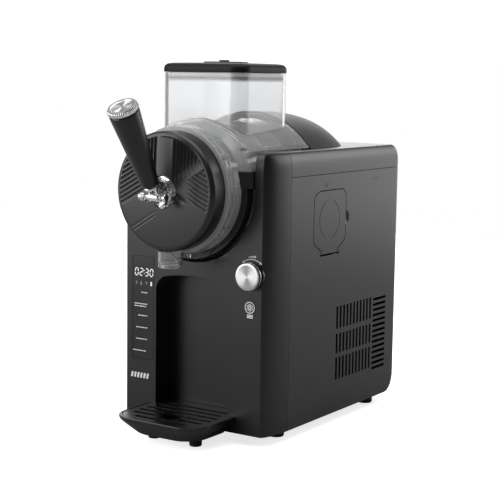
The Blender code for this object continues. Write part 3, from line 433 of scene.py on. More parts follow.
finish("satin_black", "black_plastic", (0.0055, 0.0053, 0.0058), 0.31, specular_ior_level=0.48)
# A lighter copy of the housing's satin black for the side, top and rear shells and the hatch: painted
# light, standing in for the key light that falls on the side faces.
finish("side_black_painted_light", "black_plastic", (0.0118, 0.0078, 0.0102), 0.3, specular_ior_level=0.54)
finish("dome_black", "black_plastic", (0.0075, 0.0062, 0.007), 0.42, specular_ior_level=0.3)
finish("cover_black", "black_plastic", (0.007, 0.0068, 0.0072), 0.33, specular_ior_level=0.52)
finish("grip_black", "black_plastic", (0.008, 0.0077, 0.0082), 0.32)
finish("gloss_black", "gloss_black", (0.012, 0.012, 0.013), 0.22, grain=900.0, bump=0.08)
finish("rubber", "rubber", (0.01, 0.01, 0.01), 0.8, bump=0.6, depth=0.00006)
finish("clear", "clear_plastic", (0.955, 0.96, 0.968), 0.025, vary=0.012, grain=300.0, bump=0.06,
    depth=0.00002, rough_vary=0.02, transmission_weight=0.84, ior=1.47)
finish("clear_bright", "clear_plastic", (0.955, 0.96, 0.968), 0.02, vary=0.012, grain=300.0, bump=0.04,
    depth=0.00002, rough_vary=0.015, transmission_weight=0.94, ior=1.47)
finish("frosted", "clear_plastic", (0.93, 0.94, 0.95), 0.2, vary=0.03, transmission_weight=0.82, ior=1.47)
finish("lid_black", "black_plastic", (0.005, 0.0048, 0.0053), 0.46, specular_ior_level=0.18)
finish("silicone_dark", "silicone", (0.06, 0.062, 0.066), 0.5, vary=0.2)
finish("silicone_clear", "silicone", (0.62, 0.63, 0.65), 0.5, vary=0.1, transmission_weight=0.35)
finish("chrome", "chrome", (0.86, 0.86, 0.88), 0.09, metallic=1.0, vary=0.04, grain=500.0, bump=0.12,
    depth=0.00002, rough_vary=0.05)
finish("knob_face", "brushed_aluminium", (0.56, 0.56, 0.57), 0.24, metallic=1.0, vary=0.05, grain=900.0,
    bump=0.2, stretch=(1, 6, 1), radial="Y", anisotropic=0.9)
finish("cap_silver", "brushed_aluminium", (0.8, 0.8, 0.81), 0.26, metallic=1.0, vary=0.05, grain=1500.0,
    bump=0.25)
finish("stainless", "stainless", (0.66, 0.67, 0.68), 0.3, metallic=1.0, vary=0.06, grain=1200.0,
    stretch=(1, 0.04, 1), bump=0.35)
finish("steel", "steel", (0.46, 0.46, 0.48), 0.38, metallic=1.0, vary=0.12)
finish("fins", "fin_aluminium", (0.66, 0.66, 0.67), 0.42, metallic=1.0, vary=0.1, stretch=(0.1, 1, 1))
finish("white_plastic", "white_plastic", (0.74, 0.74, 0.73), 0.35, vary=0.05)
finish("nylon", "nylon", (0.66, 0.63, 0.55), 0.45, vary=0.06)
finish("copper", "copper", (0.66, 0.3, 0.17), 0.32, metallic=1.0, vary=0.2, tint=(0.72, 0.4, 0.25))
finish("board", "circuit_board", (0.02, 0.15, 0.06), 0.45, vary=0.3, cloud=120.0)
finish("enamel", "painted_steel", (0.02, 0.02, 0.022), 0.28, vary=0.1, bump=0.15, grain=700.0)
finish("bronze", "brass", (0.6, 0.42, 0.2), 0.4, metallic=1.0, vary=0.12)
finish("print_white", "gloss_black", (0.8, 0.8, 0.8), 0.6, vary=0.06, cloud=300.0)
finish("print_grey", "gloss_black", (0.28, 0.28, 0.28), 0.6, vary=0.08, cloud=300.0)
finish("lit_white", "gloss_black", (0.9, 0.9, 0.9), 0.5, vary=0.05, emission_strength=0.25,
    emission_color=(1, 1, 1, 1))


# ---- housing
def plan(inset, rear):
    """The housing from above, drawn in by inset; the front corners are elliptical."""
    half = HALF - inset
    r = max(REAR_CORNER - inset, 1.0)
    right = arc(FRONT_FLAT, FRONT_WRAP, half - FRONT_FLAT, FRONT_WRAP - inset, -90, 0, 26)
    right += [(half, y) for y in (80, 120, 160, 200, 240)]
    right += arc(half - r, rear - r, r, r, 0, 90, 9)
    front = [(x, inset) for x in (-60, -30, 0, 30, 60)]
    return right + [(-x, y) for x, y in reversed(right)] + front


def block(inset, bottom):
    """The housing's outer form, or with an inset the form of its hollow."""
    top = TOP - inset
    start = TOP - TOP_ROUND_HEIGHT
    fall = [BOTTOM + REAR_BOTTOM_ROUND * (1 - cos_d(a)) for a in range(10, 91, 10)]
    levels = [z for z in [bottom, BOTTOM] + fall + [60, 100, 150, 200, 250, 290] if z >= bottom]
    levels = sorted(set(levels)) + [start + (top - start) * sin_d(a) for a in range(0, 91, 10)]
    rings = []
    for z in levels:
        up = min(1.0, max(0.0, z - start) / (top - start))
        share = 1 - sqrt(1 - up * up)
        edge = inset + TOP_ROUND * share
        drop = min(REAR_BOTTOM_ROUND, max(0.0, BOTTOM + REAR_BOTTOM_ROUND - max(z, BOTTOM)))
        lift = REAR_BOTTOM_ROUND - sqrt(REAR_BOTTOM_ROUND ** 2 - drop ** 2)
        rear = REAR - inset - TOP_ROUND_REAR * share - 0.8 * lift
        rings.append([(x, y, z) for x, y in plan(edge, rear)])
    return loft(rings)


def housing(region):
    """The part of the hollow housing that lies inside a region."""
    return worked(block(0.0, BOTTOM), keeps=[region], cuts=[block(WALL, UNDER)])


def cradle_outline(radius):
    return arc(0, AXIS_Z, radius, radius, 180, 360, 72) + [(radius, 345), (-radius, 345)]


def mirror_x(points):
    return points + [(-a, b) for a, b in reversed(points)]


def recess_outline(grow):
    """The cup recess from the front: upright sides, a slightly arched top."""
    side, top, r = 50.0 + grow, 176.0 + grow, 17.0 + grow
    half = [(side, 16.0 - grow)] + arc(side - r, top - r, r, r, 0, 80, 12)
    crown = [(half[-1][0] * t, top + 3.0 - (top + 3.0 - half[-1][1]) * t * t)
        for t in (0.8, 0.6, 0.4, 0.2)]
    return mirror_x(half + crown + [(0.01, top + 3.0)])


def make_front_shell():
    behind = box((-ASIDE, SEAM_Y, BELOW), (ASIDE, BEHIND, ABOVE))
    x0, x1, z0, z1 = WINDOW.x0 - GAP, WINDOW.x1 + GAP, WINDOW.z0 - GAP, WINDOW.z1 + GAP
    window = prism(rounded(x0, x1, z0, z1, 1.5, 4), "XZ", -5, 8)
    knob = place(rod(15.6, -5, 12, 0), (KNOB.x, 0, KNOB.z), "Y")
    button = place(rod(BUTTON.x1 - BUTTON.x + GAP, -5, 12, 0), (BUTTON.x, 0, BUTTON.z), "Y")
    tub = prism(recess_outline(2.2), "XZ", 1.2, 29.2)
    shell = worked(block(0.0, BOTTOM), cuts=[block(WALL, UNDER), behind])
    shell = worked(shell, joins=[tub])
    shell = worked(shell, cuts=[prism(recess_outline(0.0), "XZ", -5, 27.0),
        prism(cradle_outline(CRADLE_R), "XZ", -5, 130), window, knob, button], edge=0.9, segments=3,
        angle=42)
    piece("front_panel_shell", shell, "satin_black", "machine", ["front_shell"])


def vent_cutters(side):
    """Vent slots: three rows of upright slots, and on the right a column of level ones behind."""
    x0, x1 = sorted((side * 94.0, side * 104.0))
    cutters = []
    for z0, z1 in ((50, 76), (81, 104), (110, 136)):
        for i in range(11):
            y = 146 + 7.9 * i
            cutters.append(box((x0, y - 2, z0), (x1, y + 2, z1)))
    if side > 0:
        for i in range(14):
            z = 48 + 6.5 * i
            cutters.append(box((x0, 232, z - 1.6), (x1, 264, z + 1.6)))
    return together(*cutters)


def hatch_outline(grow):
    """The side hatch as (y, z), with its hinge tab below."""
    g = grow
    y0, y1, z1 = HATCH.y0 - g, HATCH.y1 + g, HATCH.z1 + g
    foot = HATCH.z0 if g == 0 else HATCH.z0 - 2.2
    top = arc(y1 - 10 - g, z1 - 10 - g, 10 + g, 10 + g, 0, 90, 10)
    top += arc(y0 + 16 + g, z1 - 10 - g, 16 + g, 10 + g, 90, 180, 12)
    shape = [(y, z, 0) for y, z in top]
    shape += [(y0, 213 - g / 2, 7), (105 - g, 206 - g, 1.5), (105 - g, foot, 0.3), (145 + g, foot, 0.3),
        (145 + g, 206 - g, 1.5), (y1, 213 - g / 2, 7)]
    return soften(shape, 1.0, count=8)


def make_side_panels():
    for side, hand in ((1, "right"), (-1, "left")):
        x0, x1 = sorted((side * (REAR_SEAM + GAP), side * ASIDE))
        region = box((x0, SEAM_Y + GAP, BELOW), (x1, BEHIND, SEAM_Z - GAP))
        panel = housing(region)
        cuts = [vent_cutters(side)]
        if side > 0:
            cuts.append(prism(hatch_outline(1.0), "YZ", 90, 110))
            dish = [(22 * sin_d(a), HALF + 20.1 - 22 * cos_d(a)) for a in range(0, 61, 4)]
            cuts.append(place(spun(dish + [(0, dish[-1][1])], 72), (0, 160, 238), "X"))
            for y, z in ((225.5, 279.0), (233.5, 279.0)):
                cuts.append(place(ring(1.5, 1.9, 99.8, 104, 0, 24), (0, y, z), "X"))
            mark = [(110.5, 281.5), (119.5, 281.5), (115, 274.5)]
            inner = [(112.2, 280.5), (117.8, 280.5), (115, 276.2)]
            cuts.append(worked(prism(mark, "YZ", 99.8, 104), cuts=[prism(inner, "YZ", 99, 105)]))
        panel = worked(panel, cuts=cuts, edge=0.15)
        piece(f"side_shell_{hand}", panel, "side_black_painted_light", "machine", [f"side_panel_{hand}"])


def make_top_cover():
    region = box((-ASIDE, SEAM_Y + GAP, SEAM_Z), (ASIDE, BEHIND, ABOVE))
    cover = housing(region)
    bay = prism(rounded(-66, 66, 108, 204, 8), "XY", 300, 340)
    cover = worked(cover, cuts=[prism(cradle_outline(CRADLE_R), "XZ", -5, 113), bay], edge=0.4)
    piece("top_shell", cover, "side_black_painted_light", "machine", ["top_cover"])


def screw_head(radius=3.0, slots=2):
    """A low domed screw head with a cross recess, standing on z = 0."""
    head = spun([(0, -1), (radius, -1), (radius, 0.2), (radius * 0.9, 0.8), (radius * 0.6, 1.2),
        (0, 1.4)], 40)
    bars = [box((-radius * 0.6, -0.35, 0.5), (radius * 0.6, 0.35, 3)),
        box((-0.35, -radius * 0.6, 0.5), (0.35, radius * 0.6, 3))]
    return worked(head, cuts=bars[:slots])


def make_rear():
    edge = REAR_SEAM
    region = box((-edge, 230, BELOW), (edge, BEHIND, SEAM_Z - GAP))
    slots = []
    for i in range(9):
        z = 110 + 14 * i
        slots.append(prism(rounded(-48, -3, z - 2.4, z + 2.4, 2.3, 5), "XZ", 270, 300))
        slots.append(prism(rounded(3, 48, z - 2.4, z + 2.4, 2.3, 5), "XZ", 270, 300))
    hole = box((INLET.x0 - GAP, 268, INLET.z0 - GAP), (INLET.x1 + GAP, 300, INLET.z1 + GAP))
    spots = [(x, z) for x in (-62, 62) for z in (60, 165, 275)]
    wells = [place(rod(4.2, 0, 8, 0), (x, REAR - 1.4, z), "Y") for x, z in spots]
    cover = housing(region)
    cover = worked(cover, cuts=[together(*slots), hole, together(*wells)], edge=0.35)
    piece("rear_shell", cover, "side_black_painted_light", "machine", ["rear_cover"])
    heads = [place(screw_head(3.2), (x, REAR - 1.4, z), "Y") for x, z in spots]
    piece("rear_screws", together(*heads), "steel", "machine")


def dome_profile(inset):
    i = inset
    shape = [(0, 0), (103.5 - i, 0, 0.6), (103 - i, 30, 24), (101.2 - i, 58, 20), (97 - i, 82, 14),
        (90.5 - i, 98 - i, 8), (83 - i, 103.5 - i, 4), (0, 103.5 - i)]
    return soften(shape, 1.0, closed=False, count=6)


def make_dome():
    at = (0, DOME.y0, FAIRING_Z)
    dome = place(spun(dome_profile(0), 160), at, "Y")
    inside = place(spun([(0, WALL)] + [(r, max(h, WALL)) for r, h in dome_profile(WALL)[1:]], 160), at,
        "Y")
    below = box((-ASIDE, 80, 130), (ASIDE, 240, TOP + GAP))
    mouth = place(rod(CRADLE_R, 100, DOME.y0 + 5, 0, 120), AXIS, "Y")
    dome = worked(dome, cuts=[inside, below, mouth], edge=0.5)
    piece("dome_shell", dome, "dome_black", "machine", ["rear_dome"])


def make_cradle():
    trough = worked(prism(cradle_outline(CRADLE_R + 2.0), "XZ", CRADLE.y0, CRADLE.y1),
        keeps=[block(WALL + GAP, BOTTOM)], cuts=[prism(cradle_outline(CRADLE_R), "XZ", -5, 140)])
    piece("cradle_trough", trough, "satin_black", "machine", ["cradle"])


def make_feet():
    large = soften([(0, 0.6), (5.2, 0.6, 0.3), (5.6, 0, 0.3), (8.4, 0), (9.3, 1.6), (9.0, 6), (10, 12.7),
        (0, 12.7)], 0.6, closed=False)
    small = soften([(0, 0.5), (3.4, 0.5), (3.8, 0), (6.1, 0), (6.9, 1.2), (7.2, 9.7), (0, 9.7)], 0.5,
        closed=False)
    for kind, profile, steps, body in (("foot_front", large, 64, "machine"),
            ("foot_rear", large, 64, "machine"), ("tray_foot", small, 48, "drip_tray")):
        for node in (kind + "_left", kind + "_right"):
            at = Span(node)
            piece(node + "_rubber", place(spun(profile, steps), (at.x, at.y, 0)), "rubber", body, [node])


def make_hatch():
    door = prism(hatch_outline(0.0), "YZ", HATCH.x1 - WALL, HATCH.x1)
    groove = place(ring(21.7, 22.4, HATCH.x1 - 0.35, HATCH.x1 + 3, 0, 128), (0, 124, 238.5), "X")
    slits = [box((HATCH.x1 - 1.2, y - 0.4, HATCH.z0 + 1.2), (HATCH.x1 + 2, y + 0.4, HATCH.z0 + 6.4))
        for y in (108.5, 141.5)]
    bore = place(rod(0.85, 98, 152, 0, 16), (98.75, 0, 201.6), "Y")
    door = worked(door, cuts=[groove, together(*slits), bore], edge=0.12, angle=60)
    piece("hatch_door", door, "side_black_painted_light", "side_hatch", ["side_hatch"])


def make_inlet():
    body = box((INLET.x0, INLET.y0, INLET.z0), (INLET.x1, INLET.y1, INLET.z1), 1.2)
    rim = prism(rounded(-13.9, 13.9, 43.1, 62.9, 3, 6), "XZ", INLET.y1 - 1.2, INLET.y1 + 0.3)
    space = prism(soften([(-11.8, 45, 1), (11.8, 45, 1), (11.8, 55, 1), (6.5, 61, 1), (-6.5, 61, 1),
        (-11.8, 55, 1)], 1.0), "XZ", 273, 300)
    piece("inlet_socket", worked(body, joins=[rim], cuts=[space], edge=0.25), "satin_black", "machine",
        ["power_inlet"])
    pins = [box((x - 1, 272, z - 2.5), (x + 1, 286, z + 2.5), 0.5, 2)
        for x, z in ((-6.8, 50.5), (0, 55), (6.8, 50.5))]
    piece("inlet_pins", together(*pins), "chrome", "machine")


# ---- controls and printed marks
def flat_marks(shapes, y, thick=0.12):
    """Thin printed shapes on the front: each an outline of (x, z) points."""
    return together(*[prism(shape, "XZ", y, y - thick) for shape in shapes])


def around(centre, r, degrees):
    """A point on the front at an angle round a knob or button."""
    return centre.x + r * cos_d(degrees), centre.z + r * sin_d(degrees)


def bar(x0, x1, z, height=1.0):
    return [(x0, z - height / 2), (x1, z - height / 2), (x1, z + height / 2), (x0, z + height / 2)]


def hoop(cx, cz, inner, outer, count=64):
    """A flat ring as a row of quads."""
    shapes = []
    for i in range(count):
        a, b = 2 * pi * i / count, 2 * pi * (i + 1.02) / count
        shapes.append([(cx + r * cos(t), cz + r * sin(t)) for r, t in ((inner, a), (outer, a), (outer, b),
            (inner, b))])
    return shapes


def digit(value, x, z, width, height, lean=0.06):
    """Seven-segment figure with its lower left corner at x, z."""
    lit = {0: "abcdef", 1: "bc", 2: "abged", 3: "abgcd", 5: "afgcd", 8: "abcdefg"}[value]
    t = 1.15
    half = height / 2
    runs = {"a": ((0, height), (width, height)), "g": ((0, half), (width, half)),
        "d": ((0, 0), (width, 0)), "f": ((0, half), (0, height)), "b": ((width, half), (width, height)),
        "e": ((0, 0), (0, half)), "c": ((width, 0), (width, half))}
    shapes = []
    for name in lit:
        (xa, za), (xb, zb) = runs[name]
        along = Vector((xb - xa, zb - za)).normalized()
        side = Vector((-along.y, along.x)) * t / 2
        a, b = Vector((xa, za)) + along * 0.35, Vector((xb, zb)) - along * 0.35
        corners = [a, a + along * t / 2 + side, b - along * t / 2 + side, b, b - along * t / 2 - side,
            a + along * t / 2 - side]
        shapes.append([(x + p.x + lean * p.y, z + p.y) for p in corners])
    return shapes


def make_display():
    x0, x1, z0, z1 = WINDOW.x0, WINDOW.x1, WINDOW.z0, WINDOW.z1
    def outline(inset):
        return rounded(x0 + inset, x1 - inset, z0 + inset, z1 - inset, 1.4, 6)

    strip = prism(None, "XZ", WINDOW.y1, WINDOW.y0, 0.25, outline)
    piece("display_strip", strip, "gloss_black", "machine", ["display_window"])
    y = WINDOW.y0 - 0.02
    left = x0 + 3.6
    shapes = []
    for i, value in enumerate((0, 2, 3, 0)):
        shapes += digit(value, left + 6.7 * i + (0.6 if i > 1 else -0.2), 173.2, 4.0, 8.0)
    for z in (175.4, 179.2):
        shapes.append(bar(left + 12.3, left + 13.3, z, 1.0))
    piece("display_figures", flat_marks(shapes, y), "lit_white", "machine")
    icons = [[(-78.6, 162.2), (-76.2, 164.6), (-77.8, 167.0)], [(-71.9, 162.4), (-69.9, 162.4),
        (-70.4, 166.8), (-71.4, 166.8)], [(-64.8, 166.4), (-62.4, 166.4), (-63.6, 162.4)]]
    piece("display_icons", flat_marks(icons, y), "print_grey", "machine")
    piece("display_level_icon", flat_marks([rounded(-57.8, -55.8, 162.0, 167.0, 0.6, 3)], y), "lit_white",
        "machine")
    rows = []
    for z, start, end in ((154, -71, -62), (140.9, -80.4, -62), (138.2, -80.4, -64), (127.6, -75, -62),
            (113.9, -78, -62), (100.7, -78, -62), (87.2, -82.4, -63)):
        x = start
        for k in range(12):
            step = 2.2 + 1.3 * ((k * 7 + int(z)) % 3)
            stop = min(end, x + step)
            if stop - x > 0.5:
                rows.append(bar(x, stop, z, 0.95))
            x = stop + 0.55
            if x >= end:
                break
    piece("display_labels", flat_marks(rows, y), "print_white", "machine")
    mark = []
    for k in range(6):
        x = -85.5 + 4.4 * k
        mark.append([(x, 55.6), (x + 2.6, 55.6), (x + 4.0, 61.6), (x + 1.4, 61.6)])
    piece("front_mark", flat_marks(mark, -0.02), "print_white", "machine")


def make_controls():
    at, face_y, side_r = (KNOB.x, 0, KNOB.z), KNOB.y0, KNOB_R - 0.5
    skirt = soften([(0, face_y + 0.9), (side_r, face_y + 0.9, 0.3), (side_r, -1.5, 0.4),
        (KNOB_R - 1.3, -1.1, 0.2), (KNOB_R - 1.3, 4), (3, 4), (3, 20), (0, 20)], 0.3, closed=False)
    first = [p[0] > side_r - 0.1 and p[1] > face_y + 1.1 for p in skirt].index(True)
    skirt[first:first] = [(side_r, h) for h in (face_y + 1.3, -7, -5.2, -3)]

    def fluted(r, h, angle, index):
        edge = r > side_r - 0.15 and face_y + 1.2 < h < -1.8
        return (r - 0.25 * (1 + cos(60 * angle)) / 2, h) if edge else (r, h)

    piece("knob_skirt", place(spun(skirt, 240, fluted), at, "Y"), "gloss_black", "level_knob",
        ["level_knob"])
    face = [(0, face_y)] + [(r, face_y + 0.05 * (k % 2)) for k, r in enumerate((3, 6, 9, 11.6))]
    face += soften([(13.2, face_y), (KNOB_R - 0.3, face_y + 0.2, 0.2), (KNOB_R, face_y + 0.6, 0.2),
        (KNOB_R, face_y + 1.1, 0.2), (0, face_y + 1.1)], 0.2, closed=False)
    piece("knob_face_plate", place(spun(face, 192), at, "Y"), "knob_face", "level_knob")
    piece("knob_silver_line", place(ring(side_r - 1, side_r + 0.3, -4.9, -4.1, 0.2), at, "Y"),
        "cap_silver", "level_knob")
    piece("knob_ring", place(ring(BEZEL.x1 - BEZEL.x - 1.8, BEZEL.x1 - BEZEL.x, BEZEL.y0, BEZEL.y1, 0.5),
        at, "Y"), "gloss_black", "machine", ["knob_bezel"])
    marks = []
    for a, b in zip(range(54, 126, 4), range(58, 130, 4)):
        quad = ((17.6, a), (18.4, a), (18.4, b + 0.3), (17.6, b + 0.3))
        marks.append([around(KNOB, r, t) for r, t in quad])
    for t, turn in ((52, 1), (128, -1)):
        base = t + 4 * turn
        marks.append([around(KNOB, 18, t - 6 * turn), around(KNOB, 19.6, base), around(KNOB, 16.4, base)])
    for k in range(5):
        marks.append([(KNOB.x - 4.4 + 2 * k, 206.2), (KNOB.x - 3.1 + 2 * k, 206.2),
            (KNOB.x - 3.1 + 2 * k, 207.0 + 0.45 * k), (KNOB.x - 4.4 + 2 * k, 207.0 + 0.45 * k)])
    for z in (144.2, 142.8, 141.4):
        marks.append(bar(BUTTON.x - 3.8, BUTTON.x + 3.8, z, 0.9))
    piece("control_marks", flat_marks(marks, -0.02), "print_white", "machine")

    r = BUTTON.x1 - BUTTON.x
    key = soften([(0, -0.35), (4.5, -0.4), (r - 0.5, -0.45, 0.3), (r, 0.1, 0.4), (r, 5), (2.4, 5),
        (2.4, 8), (0, 8)], 0.2, closed=False)
    piece("mode_key", place(spun(key, 96), (BUTTON.x, 0, BUTTON.z), "Y"), "satin_black", "mode_button",
        ["mode_button"])
    icon = hoop(BUTTON.x, BUTTON.z, 5.4, 6.4) + hoop(BUTTON.x, BUTTON.z, 0.9, 1.6, 24)
    for k in range(6):
        icon += hoop(*around(BUTTON, 2.7, 60 * k + 30), 0.9, 1.6, 6)
    piece("mode_icon", flat_marks(icon, BUTTON.y0 - 0.02), "print_white", "mode_button")


# ---- vessel, hopper and lid
def barrel_profile(grow, rear):
    g = grow
    front = VESSEL.y0
    return [(0, front), (RING_R + g - 0.8, front), (RING_R + g, front + 0.8), (RING_R + g, front + 5.2),
        (RING_R - 1.0 + g, front + 5.9), (RING_R - 1.0 + g, front + 7.1), (RING_R + g, front + 7.8),
        (RING_R + g, RING_REAR), (RING_R + 2.6 + g, -2), (BARREL_R - 1.2 + g, 8, 4),
        (BARREL_R + g, BARREL_FRONT, 4), (BARREL_R + g, rear), (0, rear)]


def fairing_profile(shrink, front, rear):
    s = shrink
    return soften([(0, front), (FAIRING_R_FRONT - s, front, 1.2), (FAIRING_R - s, 103, 8),
        (FAIRING_R - s, rear, 1), (0, rear)], 0.5, closed=False)


def hopper_outline(inset):
    return rounded(-HOPPER_X + inset, HOPPER_X - inset, HOPPER_FRONT + inset, VESSEL.y1 - 0.1 - inset,
        max(HOPPER_CORNER - inset, 1), 14)


def make_vessel():
    at, low, w = AXIS, (0, 0, FAIRING_Z), VESSEL_WALL
    barrel = place(lathe(barrel_profile(0, BARREL_REAR), 0.5, 160), at, "Y")
    fairing = worked(place(spun(fairing_profile(0, FAIRING_FRONT, VESSEL.y1), 192), low, "Y"),
        keeps=[box((-130, -10, FAIRING_BOTTOM), (130, 130, 380))])
    hopper = prism(hopper_outline(0), "XY", 320, VESSEL.z1)
    bore = place(spun([(0, -40), (RING_R - 4, -40), (RING_R - 4, RING_REAR), (RING_R - 1, -2),
        (BARREL_R - w, BARREL_FRONT), (BARREL_R - w, 120), (0, 120)], 160), at, "Y")
    fairing_space = worked(place(spun(fairing_profile(w, FAIRING_FRONT + w, VESSEL.y1 - w), 192), low,
        "Y"), keeps=[box((-130, -10, FAIRING_BOTTOM + w), (130, 130, 380))])
    space = prism(hopper_outline(w), "XY", 300, VESSEL.z1 + 5)
    seat = place(rod(79.8, BARREL_REAR, 125, 0, 120), at, "Y")
    seams = [box((x0, VESSEL.y0 + 2, 275.0), (x1, RING_REAR - 1, 275.9), 0.2, 1)
        for x0, x1 in ((67.5, 69.8), (-69.8, -67.5))]
    vessel = worked(barrel, joins=[fairing, hopper, *seams], cuts=[bore, fairing_space, space, seat],
        edge=0.5, angle=55)
    piece("clear_vessel", vessel, "clear", "vessel", ["vessel"])


def make_collar():
    """The black half ring behind the clear front ring, with a lug at each end."""
    at, outer = AXIS, AXIS_Z - COLLAR.z0
    half = worked(place(ring(66, outer, -9, 4, 0.8, 160), at, "Y"),
        cuts=[box((-90, -20, 281), (90, 20, 380))])
    lugs = []
    for side in (1, -1):
        def lug_plan(inset):
            corners = [(62, COLLAR.y0 + inset, 0.3), (70 - inset * 0.4, COLLAR.y0 + inset, 2.5),
                (COLLAR.x1 - inset, -2 + inset * 0.4, 3), (COLLAR.x1 - inset, COLLAR.y1 - inset, 1),
                (62, COLLAR.y1 - inset, 0.3)]
            return [(side * x, y) for x, y in soften(corners, 1.0)]
        lugs.append(prism(None, "XY", 279.0, COLLAR.z1, 1.6, lug_plan))
    wall = place(lathe(barrel_profile(0.35, BARREL_REAR), 0.5, 160), at, "Y")
    piece("collar_moulding", worked(half, joins=lugs, cuts=[wall], edge=0.3), "gloss_black", "vessel",
        ["vessel_collar"])


def lid_outline(inset):
    return rounded(LID.x0 + inset, LID.x1 - inset, LID.y0 + inset, LID.y1 - inset,
        max(HOPPER_CORNER + 1 - inset, 2), 14)


def make_lid():
    low, top = LID.z1 - 10.7, LID.z1
    rims = [(0.8, low), (0.2, low + 0.3), (0, low + 0.8), (0, top - 7)]
    rims += [(7.0 * (1 - cos_d(a)), top - 7 + 6.2 * sin_d(a)) for a in (12, 24, 36, 48, 60, 75, 90)]
    rims += [(12, top - 0.35), (24, top)]
    slab = loft([[(x, y, z) for x, y in lid_outline(i)] for i, z in rims])
    w = VESSEL_WALL + 2.4
    plug = prism(rounded(-HOPPER_X + w, HOPPER_X - w, HOPPER_FRONT + w, VESSEL.y1 - w, 11), "XY", 391,
        low + 1)
    hollow = prism(rounded(-HOPPER_X + 8, HOPPER_X - 8, HOPPER_FRONT + 8, VESSEL.y1 - 8, 8), "XY", 380,
        top - 3.5)
    fill = place(rod(15, 380, 420, 0, 96), (0, FLAP.y, 0))
    seat = place(rod(26.4, top - 1.3, 420, 0, 96), (0, 60, 0))
    piece("lid_skirt", worked(plug, cuts=[hollow, slab.copy()], edge=0.3), "frosted", "lid")
    lid = worked(slab, cuts=[hollow, fill, seat], edge=0.4)
    piece("lid_moulding", lid, "lid_black", "lid", ["lid"])
    disc = lathe([(0, FLAP.z0), (24.2, FLAP.z0), (25, FLAP.z0 + 0.6), (24.6, FLAP.z0 + 1.8),
        (0, FLAP.z0 + 2.0)], 0.4, 120)
    nub = box((-5, 53, LID.z1 + 1), (5, 60, FLAP.z1), 1.1, 4)
    flap = worked(place(disc, (0, 60, 0)), joins=[nub], edge=0.3)
    piece("flap_disc", flap, "satin_black", "refill_flap", ["refill_flap"])


# ---- ribbed front cover
def blend(low, high, value):
    t = max(0.0, min(1.0, (value - low) / (high - low)))
    return t * t * (3 - 2 * t)


RIB_STEP = 4.5


def rib(distance):
    """Depth of overlapping blades, by the distance across them."""
    phase = (distance / RIB_STEP) % 1.0
    return 1.5 * blend(0.0, 0.9, phase) ** 1.2 * (1 - blend(0.9, 1.0, phase))


def cover_depth(u, v):
    """How deep the cover's relief is cut at u right and v up of its centre."""
    slope_right, slope_left = tan(radians(25)), tan(radians(28))
    upright, slanted = u - 12.0, (v + slope_right * u - 6.7) * cos(radians(25))
    depth = 0.0
    t = min(upright, slanted)
    if t > 0:
        corner = 3.0 + 0.638 * t
        strength = blend(corner, corner + 20, v) if upright < slanted else blend(30, 46, u)
        depth = rib(t) * strength
    upright, slanted = -u - 7.5, (v - slope_left * u - 12.2) * cos(radians(28))
    if min(upright, slanted) > 0:
        depth = rib(min(upright, slanted))
    if -7.5 < u <= 12.0 and v > 0:
        depth = 1.7 * blend(-7.5, 13.0, u) * blend(4, 18, v)
    wedge = v + slope_right * u - 4.6
    if u > 8:
        depth += 2.0 * exp(-(wedge / 2.2) ** 2) * (1 - blend(14, 33, u))
    for line in (-15.2, -19.7):
        offset = (v - 0.6 * u - line) * 0.857
        if u < -9:
            depth += 0.35 * exp(-(offset / 0.45) ** 2)
    return depth


def make_front_cover():
    rim, hole = COVER_R, BOSS_R + GAP
    front = COVER.y0
    radii = [hole + 0.6 + (rim - 5.8 - hole) * i / 92 for i in range(93)]
    profile = [(hole, front + 1.0)] + [(r, front + 2.6 * (r / rim) ** 2) for r in radii]
    profile += [(rim - 5 + 5 * sin_d(a), front + 2.2 + 5 * (1 - cos_d(a)))
        for a in (12, 24, 36, 48, 60, 70, 80, 90)]
    profile += [(rim, front + 12), (rim, COVER.y1 - 1.2), (rim - 0.5, COVER.y1), (rim - 3, COVER.y1),
        (rim - 3, front + 5), (hole, front + 4)]
    last = len(radii)

    def carve(r, h, angle, index):
        if 1 <= index <= last:
            fade = 1 - blend(rim - 6.8, rim - 5.2, r)
            return r, h + fade * cover_depth(r * cos(angle), -r * sin(angle))
        return r, h

    mesh = place(spun(profile, 640, carve, wrap=True), AXIS, "Y")
    outlet = place(rod(VALVE_BORE + 0.3, 200, 225, 0), (0, SPOUT.y, 0))
    piece("ribbed_cover", worked(mesh, cuts=[outlet]), "cover_black", "vessel", ["front_cover"], sharp=40)


